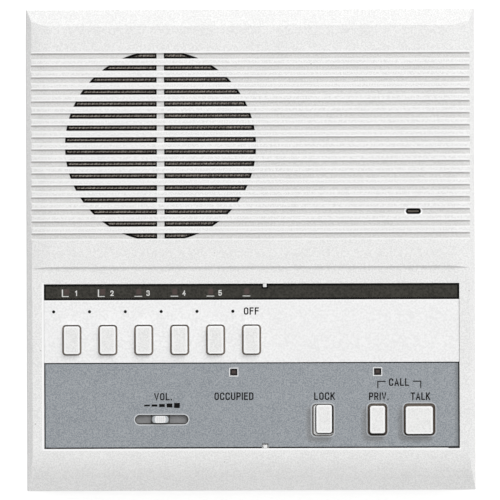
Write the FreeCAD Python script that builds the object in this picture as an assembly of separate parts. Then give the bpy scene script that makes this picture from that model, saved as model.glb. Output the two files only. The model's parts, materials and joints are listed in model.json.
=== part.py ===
import FreeCAD, Part
import math
import os

# Desk intercom master station, in millimetres and degrees.
#
# Two frames are used. The face frame follows the sloping front: X to the right, Y up the face from its front
# edge, Z out of the face, with Z = 0 on the lower face. The desk frame is the part's own: X to the right,
# Y towards the speaker end, Z up from the desk, with the origin under the middle of the case.

Vector = FreeCAD.Vector
same_point = 1e-6
same_level = 1e-4

# ---- case ----
case_width = 195.0
wedge_angle = 5.0
face_front_height = 37.5
foot_height = 3.0
rear_cover_height = 10.0
wall = 2.5
edge_drop = 4.2
side_bevel = 2.5
rear_edge_drop = 3.4
rear_bevel_angle = 32.7
front_slope_angle = 20.0
front_round_run = 10.45

# ---- raised speaker field ----
plateau_rise = 1.2
plateau_gap = 7.6
plateau_step_run = 0.85
plateau_side_angle = 11.0
plateau_round_run = 4.8
field_wall = 2.7
field_side_wall = 6.5
groove_count = 16
groove_pitch = 5.213
groove_width = 2.75
groove_depth = 1.35
groove_rear_depth = 0.85
groove_front_run = 0.25
groove_rear_run = 0.5
groove_end_share = 0.5
groove_start = 19.57
slot_front_ledge = 0.3
slot_rear_ledge = 0.2
rear_margin = 18.83

# ---- sunk panel: three bands of plates in one recess ----
panel_margin = 7.3
panel_shift = 0.25
panel_start = 18.5
control_band = 37.0
card_band = 27.7
lamp_band = 6.65
recess_depth = 2.0
floor_thickness = 2.5
screw_post_sink = 1.75
plate_thickness = 1.6
plate_gap = 0.5
card_side_gap = 0.1
recess_lip = 0.12
tab_inset = 96.0
tab_width = 1.5
tab_reach = 1.4
tab_notch = 0.7
tab_thickness = 0.35
tab_gap = 0.05

# ---- keys ----
station_names = [
    "station_key_1", "station_key_2", "station_key_3", "station_key_4", "station_key_5", "off_key"]
station_inset = 12.08
station_pitch = 15.61
station_row = 10.1
station_cap_width = 6.8
station_cap_length = 12.05
station_hole_width = 8.4
station_hole_length = 13.3
function_row = 12.2
function_hole_length = 13.6
function_keys = {
    "lock_key": {
        "inset": 58.85, "hole_width": 8.2, "cap_width": 6.8, "cap_length": 12.2, "cap_shift": (0, 0.36)},
    "private_key": {
        "inset": 35.65, "hole_width": 8.2, "cap_width": 6.5, "cap_length": 11.9, "cap_shift": (0, 0)},
    "talk_key": {
        "inset": 17.4, "hole_width": 13.4, "cap_width": 11.75, "cap_length": 12.0, "cap_shift": (-0.1, -0.3)},
}
key_rise = 2.0
key_travel = 2.4
key_corner = 1.0
hole_corner = 1.7
key_round = 0.3
floor_hole_gap = 0.2
lock_window_side = 1.0
lock_window_front = 0.15
lock_rim_gap = 0.35
lock_rim_side = 0.9
lock_rim_front = 0.4
lock_rim_drop = 0.25
cap_skirt = 0.6
stem_width = 4.0
stem_length = 7.0
stem_inset = 2.5
guide_clearance = 0.08
well_clearance = 0.25
well_floor = 0.8
stem_end_gap = 0.6

# ---- switches, interlock and key board ----
frame_drop = 4.6
frame_thickness = 1.0
switch_height = 6.8
bank_width = 14.0
bank_overhang = 6.0
function_switch_margin = 1.6
latch_thickness = 0.6
latch_lift = 2.6
latch_rail = 2.2
latch_travel = 1.2
latch_gap = 0.3
latch_guide_length = 3.0
latch_end_reach = 2.0
tooth_reach = 0.8
tooth_height = 0.8
tooth_gap = 0.1
spring_length = 6.0
spring_radius = 1.5
spring_wire = 0.25
spring_pitch = 1.2
spring_wire_sides = 6
spring_end_gap = 0.05
stop_height = 4.6
stop_width = 6.0
key_board_margin = 1.5
key_board_front = 3.4
board_thickness = 1.6
post_radius = 2.4
post_inset = 4.7
middle_posts = [(114.0, 45.0), (86.0, 9.0)]
board_screw_radius = 1.25
board_screw_depth = 5.0
screw_head_radius = 2.3
screw_head_height = 1.5
screw_clearance = 0.3
thread_clearance = 0.02
cross_reach_share = 0.6
cross_width_share = 0.14

# ---- lamps ----
lamp_offset = 2.1
lamp_row = 3.4
lamp_width = 2.2
lamp_length = 2.6
lamp_height = 5.0
lamp_gap = 0.4
lamp_lead = 0.5
lamp_sink = 0.2
housing_length = 5.2
housing_overhang = 2.3
housing_top_gap = 0.1
status_insets = [82.37, 144.87]
status_row = 33.05
status_window_width = 3.0
status_window_length = 2.8
status_bezel = 0.55
status_bezel_rise = 0.12
status_lens_sink = 0.15
status_lens_step = 0.65
status_lens_flange = 0.5
lens_gap = 0.03

# ---- volume control ----
volume_inset = 51.0
volume_row = 12.6
volume_slot_length = 22.8
volume_slot_width = 4.0
volume_rest = -0.6
volume_knob_length = 7.5
volume_knob_width = 3.2
volume_knob_rise = 1.3
volume_grip_length = 4.8
volume_grip_rise = 1.1
volume_grip_round = 0.15
grip_rib_count = 4
grip_rib_pitch = 0.85
grip_rib_width = 0.25
grip_rib_depth = 0.12
volume_end_gap = 0.15
volume_neck = 2.4
shutter_overlap = 1.0
shutter_width = 7.4
shutter_thickness = 0.6
shutter_gap = 0.15
window_gap = 0.3
lever_length = 3.0
lever_width = 1.2
lever_depth = 12.2
potentiometer_length = 44.0
potentiometer_width = 9.0
potentiometer_height = 9.5
lever_well_gap = 0.8

# ---- loudspeaker ----
grille_inset = 58.45
grille_radius = 41.5
grille_bar = 3.2
cloth_margin = 0.5
cloth_thickness = 0.6
gasket_width = 3.5
gasket_thickness = 1.5
cone_lap = 1.0
cone_clearance = 1.5
cone_depth = 10.5
cone_thickness = 0.6
coil_radius = 10.0
coil_wall = 0.3
coil_length = 10.0
cap_radius = 11.0
cap_rise = 3.6
cap_thickness = 0.4
flange_width = 3.0
flange_thickness = 1.0
flange_lip = 2.0
basket_top_radius = 43.0
basket_bottom_radius = 23.0
basket_depth = 15.0
basket_wall = 1.0
basket_windows = 4
basket_window_width = 24.0
basket_window_margin = 3.0
top_plate_radius = 20.0
top_plate_thickness = 3.0
magnet_radius = 19.0
magnet_bore = 12.5
magnet_thickness = 8.0
pole_radius = 9.5
yoke_thickness = 3.0
clamp_screw_gap = 4.0
speaker_clearance = 1.0
clamp_count = 4
clamp_length = 9.0
clamp_width = 6.0
clamp_thickness = 1.2
speaker_tag_width = 8.0
speaker_tag_reach = 5.0
speaker_tag_depth = 8.0

# ---- microphone ----
microphone_inset = 26.8
microphone_groove = 2
microphone_slot_length = 6.4
microphone_slot_width = 2.25
capsule_radius = 5.0
capsule_height = 5.6
boot_wall = 2.0
boot_top = 1.0
boot_height = 7.5
boot_clearance = 0.05
socket_wall = 1.2
socket_height = 5.0
microphone_lead_radius = 0.4
microphone_lead_spread = 1.3

# ---- main board ----
main_board_gap = 7.2
main_board_right_inset = 6.5
main_board_front = 4.0
main_board_rear_inset = 21.0
main_board_drop = 9.0
main_post_inset = 4.0
transformer_width = 22.0
transformer_length = 16.0
transformer_height = 15.0
transformer_limb = 5.0
transformer_yoke = 3.5
coil_overhang = 3.0
winding_gap = 0.1
large_can_radius = 5.0
large_can_height = 11.0
small_can_radius = 3.2
small_can_height = 8.0
capacitor_rows = 3
capacitor_spacing = 11.5
capacitor_inset = 7.0
chip_width = 20.0
chip_thickness = 4.0
chip_height = 10.0
chip_row = 36.0
sink_width = 30.0
sink_plate = 1.6
sink_height = 13.0
sink_fin_reach = 7.0
sink_fins = 5
resistor_radius = 1.1
resistor_length = 6.0
resistor_lead = 0.3
resistor_count = 6
resistor_pitch = 4.2
transistor_radius = 2.3
transistor_height = 4.8
transistor_leg = 2.4
transistor_count = 4
transistor_pitch = 8.0
connector_width = 22.0
connector_thickness = 5.0
connector_height = 3.4
connector_left = 9.0
ribbon_margin = 1.0
ribbon_thickness = 0.9
ribbon_sag = 4.0
ribbon_bend = 3.0
lead_radius = 0.65
lead_spread = 3.0
lead_bend = 2.0
lead_landing = 6.0

# ---- rear cover ----
cover_inset = 1.0
lip_height = 3.0
lip_thickness = 1.2
lip_clearance = 0.25
rear_cover_edge = 1.2
screw_post_inset_x = 11.5
screw_post_inset_y = 11.5
screw_post_radius = 3.6
screw_well_radius = 3.4
screw_well_depth = 5.0
screw_tower_wall = 2.2
screw_tower_cap = 2.4
case_screw_radius = 1.5
case_screw_depth = 12.0
case_screw_head = 2.9
case_screw_head_height = 2.2
foot_radius = 6.0
foot_sink = 0.8
foot_clearance = 0.05
foot_edge = 0.6
foot_inset_x = 29.5
foot_inset_y = 15.9
bay_side_inset = 15.5
bay_rear_inset = 39.9
bay_width = 64.0
bay_length = 36.0
bay_depth = 14.0
channel_width = 14.0
channel_depth = 7.4
keyhole_spacing = 83.5
keyhole_radius = 4.2
keyhole_slot_width = 4.4
keyhole_slot_length = 8.0
vent_count = 6
vent_pitch = 5.0
vent_width = 2.0
vent_length = 34.0
vent_rear_inset = 59.9
rating_plate_inset_x = 47.5
rating_plate_inset_y = 96.0
rating_plate_width = 52.0
rating_plate_length = 26.0
rating_plate_thickness = 0.5
rating_plate_sink = 0.4
rating_plate_gap = 0.1
terminal_count = 8
terminal_pitch = 6.8
terminal_depth = 10.0
terminal_height = 8.0
terminal_margin = 4.0
terminal_screw_radius = 1.9
terminal_screw_height = 0.8
terminal_screw_sink = 0.5
wire_hole_radius = 1.4
terminal_leg = 1.2
strap_width = 22.0
strap_length = 5.0
strap_thickness = 3.4
strap_arch_width = 9.0
strap_arch_height = 2.2
strap_margin = 2.5
strap_screw_radius = 1.3
strap_screw_head = 2.3
strap_screw_head_height = 1.2

# ---- places worked out from the sizes above ----
card_start = panel_start + control_band
lamp_start = card_start + card_band
panel_end = lamp_start + lamp_band
groove_first = panel_end + groove_start
groove_last = groove_first + (groove_count - 1) * groove_pitch
case_length = groove_last + groove_width + rear_margin
wedge = math.radians(wedge_angle)
part_level = foot_height + rear_cover_height
half_width = case_width / 2
bevel_line = half_width - side_bevel
front_reach = edge_drop * math.sin(wedge)
face_rise = case_length * math.sin(wedge)
rear_wall_drop = face_front_height + face_rise - part_level
rear_reach = case_length * math.cos(wedge) + rear_wall_drop * math.tan(wedge)
face_start = -(front_reach + rear_reach) / 2
cover_front = face_start + (face_front_height - part_level) * math.tan(wedge)
cover_rear = face_start + rear_reach

panel_half = half_width - panel_margin
panel_left = panel_shift - panel_half
panel_right = panel_shift + panel_half
recess_floor = -recess_depth
plate_top = recess_floor + plate_thickness
floor_under = recess_floor - floor_thickness
station_y = card_start + station_row
function_y = panel_start + function_row
cap_bottom = recess_floor - cap_skirt
frame_top = cap_bottom - key_travel - frame_drop
frame_under = frame_top - frame_thickness
board_top = frame_under - switch_height
board_under = board_top - board_thickness
stem_bottom = board_top + well_floor + stem_end_gap + key_travel
latch_bottom = frame_top + latch_lift
latch_top = latch_bottom + latch_thickness

plateau_start = panel_end + plateau_gap
plateau_slope = math.radians(plateau_side_angle)
plateau_round_drop = plateau_round_run * math.tan(plateau_slope / 2)
plateau_slope_run = (plateau_rise - plateau_round_drop) / math.tan(plateau_slope)
plateau_flat = bevel_line - plateau_slope_run - plateau_round_run
field_under = plateau_rise - field_wall
speaker_x = -half_width + grille_inset
speaker_y = (groove_first + groove_last + groove_width) / 2
microphone_x = half_width - microphone_inset
microphone_y = groove_first + microphone_groove * groove_pitch + groove_width / 2
flange_bore = basket_top_radius - flange_lip
gasket_radius = basket_top_radius + flange_width
gasket_bore = gasket_radius - gasket_width
cloth_radius = gasket_radius - cloth_margin
cone_rim = gasket_bore + cone_lap
cone_edge = flange_bore - cone_clearance
clamp_circle = gasket_radius + clamp_screw_gap
main_board_left = speaker_x + gasket_radius + main_board_gap
main_board_top = field_under - main_board_drop
main_board_under = main_board_top - board_thickness
main_board_right = half_width - main_board_right_inset
main_board_start = plateau_start + main_board_front
main_board_end = case_length - main_board_rear_inset

floor_level = foot_height + wall
bay_roof = foot_height + bay_depth
bay_right = half_width - bay_side_inset
bay_left = bay_right - bay_width
bay_end = cover_rear - bay_rear_inset
bay_start = bay_end - bay_length
vent_y = cover_rear - vent_rear_inset
plate_x = -half_width + rating_plate_inset_x
plate_y = cover_front + rating_plate_inset_y
foot_x = half_width - foot_inset_x
foot_y = cover_rear - foot_inset_y
channel_x = (bay_left + bay_right) / 2
channel_roof = foot_height + channel_depth

station_x = [panel_left + station_inset + k * station_pitch for k in range(len(station_names))]
function_x = {name: panel_right - sizes["inset"] for name, sizes in function_keys.items()}
lamp_x = [x - lamp_offset for x in station_x]
lamp_y = lamp_start + lamp_row
status_x = [panel_left + inset for inset in status_insets]
status_y = panel_start + status_row
volume_x = panel_left + volume_inset
volume_y = panel_start + volume_row
knob_x = volume_x + volume_rest
volume_travel = (volume_slot_length - volume_knob_length) / 2 - volume_end_gap

face_placement = FreeCAD.Placement(
    Vector(0, face_start, face_front_height),
    FreeCAD.Rotation(Vector(1, 0, 0), wedge_angle),
)
nodes = {}


# ---- shape helpers ----
def block(x0, x1, y0, y1, z0, z1):
    return Part.makeBox(x1 - x0, y1 - y0, z1 - z0, Vector(x0, y0, z0))


def rod(radius, x, y, z0, z1):
    return Part.makeCylinder(radius, z1 - z0, Vector(x, y, z0))


def ring(outer, inner, x, y, z0, z1):
    return rod(outer, x, y, z0, z1).cut(rod(inner, x, y, z0, z1))


def outline(steps, place):
    # Each step is a point to draw a line to, or a point to pass through and one to end an arc on.
    start = place(*steps[0])
    here = start
    edges = []
    for step in steps[1:]:
        end = place(*step[-2:])
        if len(step) == 4:
            edges.append(Part.Arc(here, place(*step[:2]), end).toShape())
        else:
            edges.append(Part.makeLine(here, end))
        here = end
    edges.append(Part.makeLine(here, start))
    return Part.Face(Part.Wire(edges))


def prism_along_x(steps, x0, x1):
    return outline(steps, lambda y, z: Vector(x0, y, z)).extrude(Vector(x1 - x0, 0, 0))


def prism_along_y(steps, y0, y1):
    return outline(steps, lambda x, z: Vector(x, y0, z)).extrude(Vector(0, y1 - y0, 0))


def turned(steps, x, y):
    # A profile of radius and height, turned about a line through x, y along Z.
    face = outline(steps, lambda radius, z: Vector(x + radius, y, z))
    return face.revolve(Vector(x, y, 0), Vector(0, 0, 1), 360)


def rounded_block(x, y, width, length, radius, z0, z1):
    half_x = width / 2
    half_y = length / 2
    diagonal = radius * (1 - math.sqrt(0.5))
    edges = []
    last = None
    for side_x, side_y in ((1, 1), (-1, 1), (-1, -1), (1, -1)):
        upright = Vector(x + side_x * half_x, y + side_y * (half_y - radius), z0)
        level = Vector(x + side_x * (half_x - radius), y + side_y * half_y, z0)
        middle = Vector(x + side_x * (half_x - diagonal), y + side_y * (half_y - diagonal), z0)
        first, end = (upright, level) if side_x == side_y else (level, upright)
        if last is not None and last.distanceToPoint(first) > same_point:
            edges.append(Part.makeLine(last, first))
        edges.append(Part.Arc(first, middle, end).toShape())
        last = end
    start = edges[0].Vertexes[0].Point
    if last.distanceToPoint(start) > same_point:
        edges.append(Part.makeLine(last, start))
    return Part.Face(Part.Wire(edges)).extrude(Vector(0, 0, z1 - z0))


def slot_block(x, y, length, width, z0, z1):
    return rounded_block(x, y, length, width, width / 2, z0, z1)


def edges_at(shape, level):
    # The edges that lie wholly at one height.
    found = []
    for edge in shape.Edges:
        span = edge.BoundBox
        if abs(span.ZMin - level) < same_level and abs(span.ZMax - level) < same_level:
            found.append(edge)
    return found


def fuse_all(shapes):
    return shapes[0].fuse(shapes[1:]).removeSplitter()


def tube(points, radius, bend):
    # A round wire along straight runs joined by tangent arcs.
    edges = []
    here = points[0]
    for before, corner, after in zip(points, points[1:], points[2:]):
        arrive = (corner - before).normalize()
        leave = (after - corner).normalize()
        half_turn = arrive.getAngle(leave) / 2
        cut_back = bend * math.tan(half_turn)
        first = corner - arrive * cut_back
        end = corner + leave * cut_back
        inward = (leave - arrive).normalize()
        middle = corner + inward * (bend / math.cos(half_turn) - bend)
        edges.append(Part.makeLine(here, first))
        edges.append(Part.Arc(first, middle, end).toShape())
        here = end
    edges.append(Part.makeLine(here, points[-1]))
    path = Part.Wire(edges)
    circle = Part.makeCircle(radius, points[0], points[1] - points[0])
    return path.makePipeShell([Part.Wire(circle)], True, True)


def screw(x, y, seat, radius, shank, head_radius, head_height):
    # A pan-head screw pointing up, its head under the seat, with a cross recess.
    head = rod(head_radius, x, y, seat - head_height, seat)
    head = head.makeFillet(head_height / 3, edges_at(head, seat - head_height))
    body = head.fuse(rod(radius, x, y, seat, seat + shank)).removeSplitter()
    arm = head_radius * cross_reach_share
    thin = head_radius * cross_width_share
    sunk = seat - head_height / 2
    bottom = seat - head_height
    cross = [block(x - arm, x + arm, y - thin, y + thin, bottom, sunk)]
    cross.append(block(x - thin, x + thin, y - arm, y + arm, bottom, sunk))
    return body.cut(cross)


def on_face(shape):
    moved = shape.copy()
    moved.Placement = face_placement.multiply(moved.Placement)
    return moved


def centred_block(x, y, width, length, bottom, top):
    return block(x - width / 2, x + width / 2, y - length / 2, y + length / 2, bottom, top)


def keep_desk(name, *shapes):
    nodes[name] = shapes[0] if len(shapes) == 1 else Part.makeCompound(list(shapes))


def keep(name, *shapes):
    keep_desk(name, *[on_face(shape) for shape in shapes])


# ---- case surfaces ----
def rolled_side(level, angle, reach):
    # Right half of the speaker field's cross-section: flat, rounded over, then a straight slope.
    slope = math.radians(angle)
    radius = plateau_round_run / math.sin(slope)
    middle = (plateau_flat + radius * math.sin(slope / 2), level - radius * (1 - math.cos(slope / 2)))
    round_end = (plateau_flat + plateau_round_run, level - radius * (1 - math.cos(slope)))
    drop = (reach - round_end[0]) * math.tan(slope)
    return (plateau_flat, level), middle + round_end, (reach, round_end[1] - drop)


def field_section(level, angle, reach, close_level):
    # Closed cross-section whose lower or upper boundary is the rolled surface.
    flat, rounding, end = rolled_side(level, angle, reach)
    left_start = (-end[0], end[1])
    left_round = (-rounding[2], rounding[3])
    left_flat = (-rounding[0], rounding[1], -flat[0], flat[1])
    closing = [(reach, close_level), (-reach, close_level)]
    return [left_start, left_round, left_flat, flat, rounding, end] + closing


def case_body(bottom):
    slope = math.radians(front_slope_angle)
    radius = front_round_run / math.sin(slope)
    round_drop = front_round_run * math.tan(slope / 2)
    slope_run = (edge_drop - round_drop) / math.tan(slope)
    flat_start = slope_run + front_round_run
    round_middle = (flat_start - radius * math.sin(slope / 2), -radius * (1 - math.cos(slope / 2)))
    rear_slope = math.tan(math.radians(rear_bevel_angle))
    rear_flat = case_length - rear_edge_drop / rear_slope
    along = prism_along_x([
        (0, bottom),
        (0, -edge_drop),
        (slope_run, -round_drop),
        round_middle + (flat_start, 0),
        (rear_flat, 0),
        (case_length, -rear_edge_drop),
        (case_length, bottom),
    ], -half_width, half_width)
    across = prism_along_y([
        (-half_width, bottom),
        (-half_width, -edge_drop),
        (-bevel_line, 0),
        (bevel_line, 0),
        (half_width, -edge_drop),
        (half_width, bottom),
    ], 0, case_length)
    field_end = rear_flat - plateau_rise / rear_slope
    root = -edge_drop
    field_along = prism_along_x([
        (plateau_start - plateau_step_run, root),
        (plateau_start - plateau_step_run, 0),
        (plateau_start, plateau_rise),
        (field_end, plateau_rise),
        (rear_flat, 0),
        (rear_flat, root),
    ], -bevel_line, bevel_line)
    field_across = prism_along_y(
        field_section(plateau_rise, plateau_side_angle, bevel_line, root), 0, case_length)
    return along.common(across).fuse(field_along.common(field_across)).removeSplitter()


def groove_cutter(start):
    # A groove with a steep front wall and a floor that falls towards the front. It follows the rolled
    # sides of the field and grows shallower towards its ends.
    flat, rounding, side = rolled_side(plateau_rise, plateau_side_angle, half_width)
    side_places = [flat + (1.0,), rounding[:2] + (1.0,), rounding[2:] + (1.0,), side + (groove_end_share,)]
    places = [(-x, level, share) for x, level, share in reversed(side_places)] + side_places
    end = start + groove_width
    sections = []
    for x, level, share in places:
        corners = [
            (start, level + groove_depth),
            (start, level),
            (start + groove_front_run, level - share * groove_depth),
            (end - groove_rear_run, level - share * groove_rear_depth),
            (end, level),
            (end, level + groove_depth),
            (start, level + groove_depth),
        ]
        sections.append(Part.makePolygon([Vector(x, y, w) for y, w in corners]))
    return Part.makeLoft(sections, True, True)


def groove_cutters():
    return [groove_cutter(groove_first + k * groove_pitch) for k in range(groove_count)]


def grille_cutters():
    above = plateau_rise + groove_depth
    below = field_under - groove_depth
    circle = rod(grille_radius, speaker_x, speaker_y, below, above)
    left = speaker_x - grille_radius
    right = speaker_x + grille_radius
    cutters = []
    for k in range(groove_count):
        start = groove_first + k * groove_pitch + slot_front_ledge
        end = start + groove_width - slot_front_ledge - slot_rear_ledge
        for x0, x1 in ((left, speaker_x - grille_bar / 2), (speaker_x + grille_bar / 2, right)):
            cutters.append(block(x0, x1, start, end, below, above).common(circle))
    return cutters


def panel_recess():
    return block(panel_left, panel_right, panel_start, panel_end, recess_floor, plateau_rise)


def recess_edge():
    # The sloping lip round the top of the recess.
    lip = block(
        panel_left - recess_lip, panel_right + recess_lip, panel_start - recess_lip, panel_end + recess_lip,
        -recess_lip, plateau_rise)
    return lip.makeChamfer(recess_lip, edges_at(lip, -recess_lip))


def key_window(name):
    # Left, right, front and rear of the plate's hole for a lower key; the LOCK key's reaches further.
    x = function_x[name]
    half_hole = function_keys[name]["hole_width"] / 2
    half_length = function_hole_length / 2
    side, front = (lock_window_side, lock_window_front) if name == "lock_key" else (0, 0)
    return x - half_hole - side, x + half_hole, function_y - half_length - front, function_y + half_length


def rounded_span(x0, x1, y0, y1, radius, bottom, top):
    return rounded_block((x0 + x1) / 2, (y0 + y1) / 2, x1 - x0, y1 - y0, radius, bottom, top)


def lock_opening(bottom, top):
    # Opening of the recess floor under the LOCK key, inside its rim.
    x0, x1, y0, y1 = key_window("lock_key")
    inset = lock_rim_gap
    return rounded_span(
        x0 + inset + lock_rim_side, x1, y0 + inset + lock_rim_front, y1, hole_corner, bottom, top)


def lock_rim():
    # Raised rim of the recess floor that shows along two sides of the LOCK key's window.
    x0, x1, y0, y1 = key_window("lock_key")
    inset = lock_rim_gap
    bottom = recess_floor - floor_thickness / 2
    top = plate_top - lock_rim_drop
    outer = rounded_span(x0 + inset, x1 - inset, y0 + inset, y1 - inset, hole_corner, bottom, top)
    return outer.cut(lock_opening(bottom, top))


def panel_cutters():
    # Openings through the recess floor for keys, lamps and the volume lever.
    top = plate_top
    bottom = floor_under - floor_thickness
    cutters = [panel_recess(), recess_edge()]
    gap = floor_hole_gap
    for x in station_x:
        cutters.append(rounded_block(
            x, station_y, station_hole_width + 2 * gap, station_hole_length + 2 * gap,
            hole_corner + gap, bottom, top))
    for name in ("private_key", "talk_key"):
        x0, x1, y0, y1 = key_window(name)
        cutters.append(rounded_span(x0 - gap, x1 + gap, y0 - gap, y1 + gap, hole_corner + gap, bottom, top))
    cutters.append(lock_opening(bottom, top))
    for x, y in [(x, lamp_y) for x in lamp_x] + [(x, status_y) for x in status_x]:
        cutters.append(block(
            x - lamp_width / 2 - lamp_gap, x + lamp_width / 2 + lamp_gap,
            y - lamp_length / 2 - lamp_gap, y + lamp_length / 2 + lamp_gap, bottom, top))
    reach = volume_slot_length / 2 + 2 * volume_travel + shutter_overlap + window_gap
    half = shutter_width / 2 + window_gap
    cutters.append(block(
        volume_x - reach, volume_x + reach, volume_y - half, volume_y + half, bottom, top))
    return cutters


def key_board_posts():
    left = panel_left + post_inset
    right = panel_right - post_inset
    front = panel_start + key_board_front + post_inset
    rear = panel_end - key_board_front / 2
    middle = [(panel_left + x, panel_start + y) for x, y in middle_posts]
    return [(left, front), (right, front), (left, rear), (right, rear)] + middle


def main_board_posts():
    left = main_board_left + main_post_inset
    right = main_board_right - main_post_inset
    front = main_board_start + main_post_inset
    rear = main_board_end - main_post_inset
    return [(left, front), (right, front), (left, rear), (right, rear)]


def clamp_places():
    turns = [math.radians(360 * (k + 0.5) / clamp_count) for k in range(clamp_count)]
    return [(speaker_x + clamp_circle * math.cos(t), speaker_y + clamp_circle * math.sin(t)) for t in turns]


def screw_posts():
    x = half_width - screw_post_inset_x
    return [(side * x, y) for side in (-1, 1) for y in (cover_front + screw_post_inset_y,
                                                       cover_rear - screw_post_inset_y)]


def gasket_under():
    return field_under - cloth_thickness - gasket_thickness


def flange_under():
    return gasket_under() - cone_thickness - flange_thickness


def front_cover():
    depth = -(face_front_height + face_rise)
    body = case_body(depth)
    inner = half_width - wall
    narrow = half_width - field_side_wall
    rear = case_length - field_side_wall - wall
    cavity = [
        block(-inner, inner, wall, case_length - wall, depth, floor_under),
        fuse_all([
            block(-narrow, narrow, plateau_start, rear, floor_under, field_under),
            rod(gasket_radius + speaker_clearance, speaker_x, speaker_y, floor_under, field_under),
        ]),
    ]
    slot = slot_block(
        microphone_x, microphone_y, microphone_slot_length, microphone_slot_width,
        field_under - groove_depth, plateau_rise)
    shell = body.cut(groove_cutters() + grille_cutters() + panel_cutters() + cavity + [slot])
    additions = [lock_rim()]
    pilots = []
    for x, y in key_board_posts():
        additions.append(rod(post_radius, x, y, board_top, recess_floor - floor_thickness / 2))
        end = board_top + board_screw_depth
        pilots.append(rod(board_screw_radius + thread_clearance, x, y, board_top, end))
    for x, y in main_board_posts():
        additions.append(rod(post_radius, x, y, main_board_top, field_under + groove_depth / 2))
        end = main_board_top + board_screw_depth
        pilots.append(rod(board_screw_radius + thread_clearance, x, y, main_board_top, end))
    for x, y in clamp_places():
        additions.append(rod(post_radius, x, y, flange_under(), field_under + groove_depth / 2))
        pilots.append(rod(board_screw_radius + thread_clearance, x, y, flange_under(), field_under))
    socket_inner = capsule_radius + boot_wall + boot_clearance
    additions.append(ring(
        socket_inner + socket_wall, socket_inner, microphone_x, microphone_y,
        field_under - socket_height, field_under + groove_depth / 2))
    tab_x = panel_left + tab_inset
    for y0, y1 in ((panel_start - tab_reach, panel_start + tab_reach),
                   (panel_end - tab_reach, panel_end + tab_reach)):
        tab_bottom = plate_top + tab_gap
        additions.append(block(
            tab_x - tab_width / 2, tab_x + tab_width / 2, y0, y1, tab_bottom, tab_bottom + tab_thickness))
    shell = on_face(fuse_all([shell] + additions).cut(pilots))
    below = block(-case_width, case_width, -case_length, case_length, depth, part_level)
    shell = shell.cut(below)
    inside = on_face(case_body(depth).translated(Vector(0, 0, -screw_post_sink)))
    posts = []
    screws = []
    recess = on_face(panel_recess().translated(Vector(0, 0, -floor_thickness / 2)))
    post_bottom = foot_height + screw_well_depth + screw_tower_cap
    for x, y in screw_posts():
        post = rod(screw_post_radius, x, y, post_bottom, face_front_height + face_rise)
        posts.append(post.common(inside).cut(recess))
        screws.append(rod(
            case_screw_radius + thread_clearance, x, y, post_bottom, post_bottom + case_screw_depth))
    keep_desk("front_cover", fuse_all([shell] + posts).cut(screws))


def tab_clearance(y):
    # Notch that leaves a snap tab free where it reaches over a panel plate.
    x = panel_left + tab_inset
    half = tab_width / 2 + tab_notch
    reach = tab_reach + tab_notch
    return block(x - half, x + half, y - reach, y + reach, recess_floor, plate_top)


def plate(start, end, side_gap, holes):
    # A panel plate lying on the recess floor, with a small gap to the recess walls and its neighbours.
    front = start + (plate_gap if start == panel_start else plate_gap / 2)
    rear = end - (plate_gap if end == panel_end else plate_gap / 2)
    body = block(panel_left + side_gap, panel_right - side_gap, front, rear, recess_floor, plate_top)
    return body.cut(holes)


def panel_plates():
    keep("lamp_window", plate(lamp_start, panel_end, plate_gap, [tab_clearance(panel_end)]))
    station_holes = [rounded_block(
        x, station_y, station_hole_width, station_hole_length, hole_corner, recess_floor, plate_top)
        for x in station_x]
    keep("name_card", plate(card_start, lamp_start, card_side_gap, station_holes))
    holes = [
        tab_clearance(panel_start),
        slot_block(volume_x, volume_y, volume_slot_length, volume_slot_width, recess_floor, plate_top),
    ]
    for name in function_x:
        holes.append(rounded_span(*key_window(name), hole_corner, recess_floor, plate_top))
    bezel_width = status_window_width + 2 * status_bezel
    bezel_length = status_window_length + 2 * status_bezel
    bezels = []
    lenses = []
    for x in status_x:
        holes.append(rounded_block(
            x, status_y, bezel_width + 2 * lens_gap, bezel_length + 2 * lens_gap,
            status_bezel / 2, recess_floor, plate_top))
        window = rounded_block(
            x, status_y, status_window_width + 2 * lens_gap, status_window_length + 2 * lens_gap,
            lens_gap * 2, recess_floor, plate_top + status_bezel_rise)
        frame = rounded_block(
            x, status_y, bezel_width, bezel_length, status_bezel / 2, recess_floor,
            plate_top + status_bezel_rise)
        bezels.append(frame.cut(window))
        lens_top = plate_top - status_lens_sink
        flange = centred_block(
            x, status_y, status_window_width, status_window_length, recess_floor,
            recess_floor + status_lens_flange)
        lenses.append(flange.fuse(centred_block(
            x, status_y, status_window_width - 2 * status_lens_step,
            status_window_length - 2 * status_lens_step, recess_floor, lens_top)))
    keep("control_plate", plate(panel_start, card_start, plate_gap, holes))
    keep("status_bezels", *bezels)
    keep("status_lenses", *lenses)


def key_shape(x, y, cap_width, cap_length, cap_shift, key_stem_width, tooth):
    cap = rounded_block(
        x + cap_shift[0], y + cap_shift[1], cap_width, cap_length, key_corner, cap_bottom, key_rise)
    cap = cap.makeFillet(key_round, edges_at(cap, key_rise))
    stem = block(
        x - key_stem_width / 2, x + key_stem_width / 2, y - stem_length / 2, y + stem_length / 2,
        stem_bottom, cap_bottom)
    pieces = [cap, stem]
    if tooth:
        # A catch on the stem that passes the interlock bar when the key goes down.
        side = x + key_stem_width / 2
        low = latch_top + tooth_gap
        pieces.append(prism_along_y(
            [(side, low), (side + tooth_reach / 2, low), (side + tooth_reach, low + tooth_height),
             (side, low + tooth_height)], y - stem_length / 4, y + stem_length / 4))
    return fuse_all(pieces)


def keys():
    for name, x in zip(station_names, station_x):
        keep(name, key_shape(
            x, station_y, station_cap_width, station_cap_length, (0, 0), stem_width, True))
    for name, x in function_x.items():
        sizes = function_keys[name]
        keep(name, key_shape(
            x, function_y, sizes["cap_width"], sizes["cap_length"], sizes["cap_shift"],
            function_stem(name), False))


def function_stem(name):
    return max(stem_width, function_keys[name]["cap_width"] - 2 * stem_inset)


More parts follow.
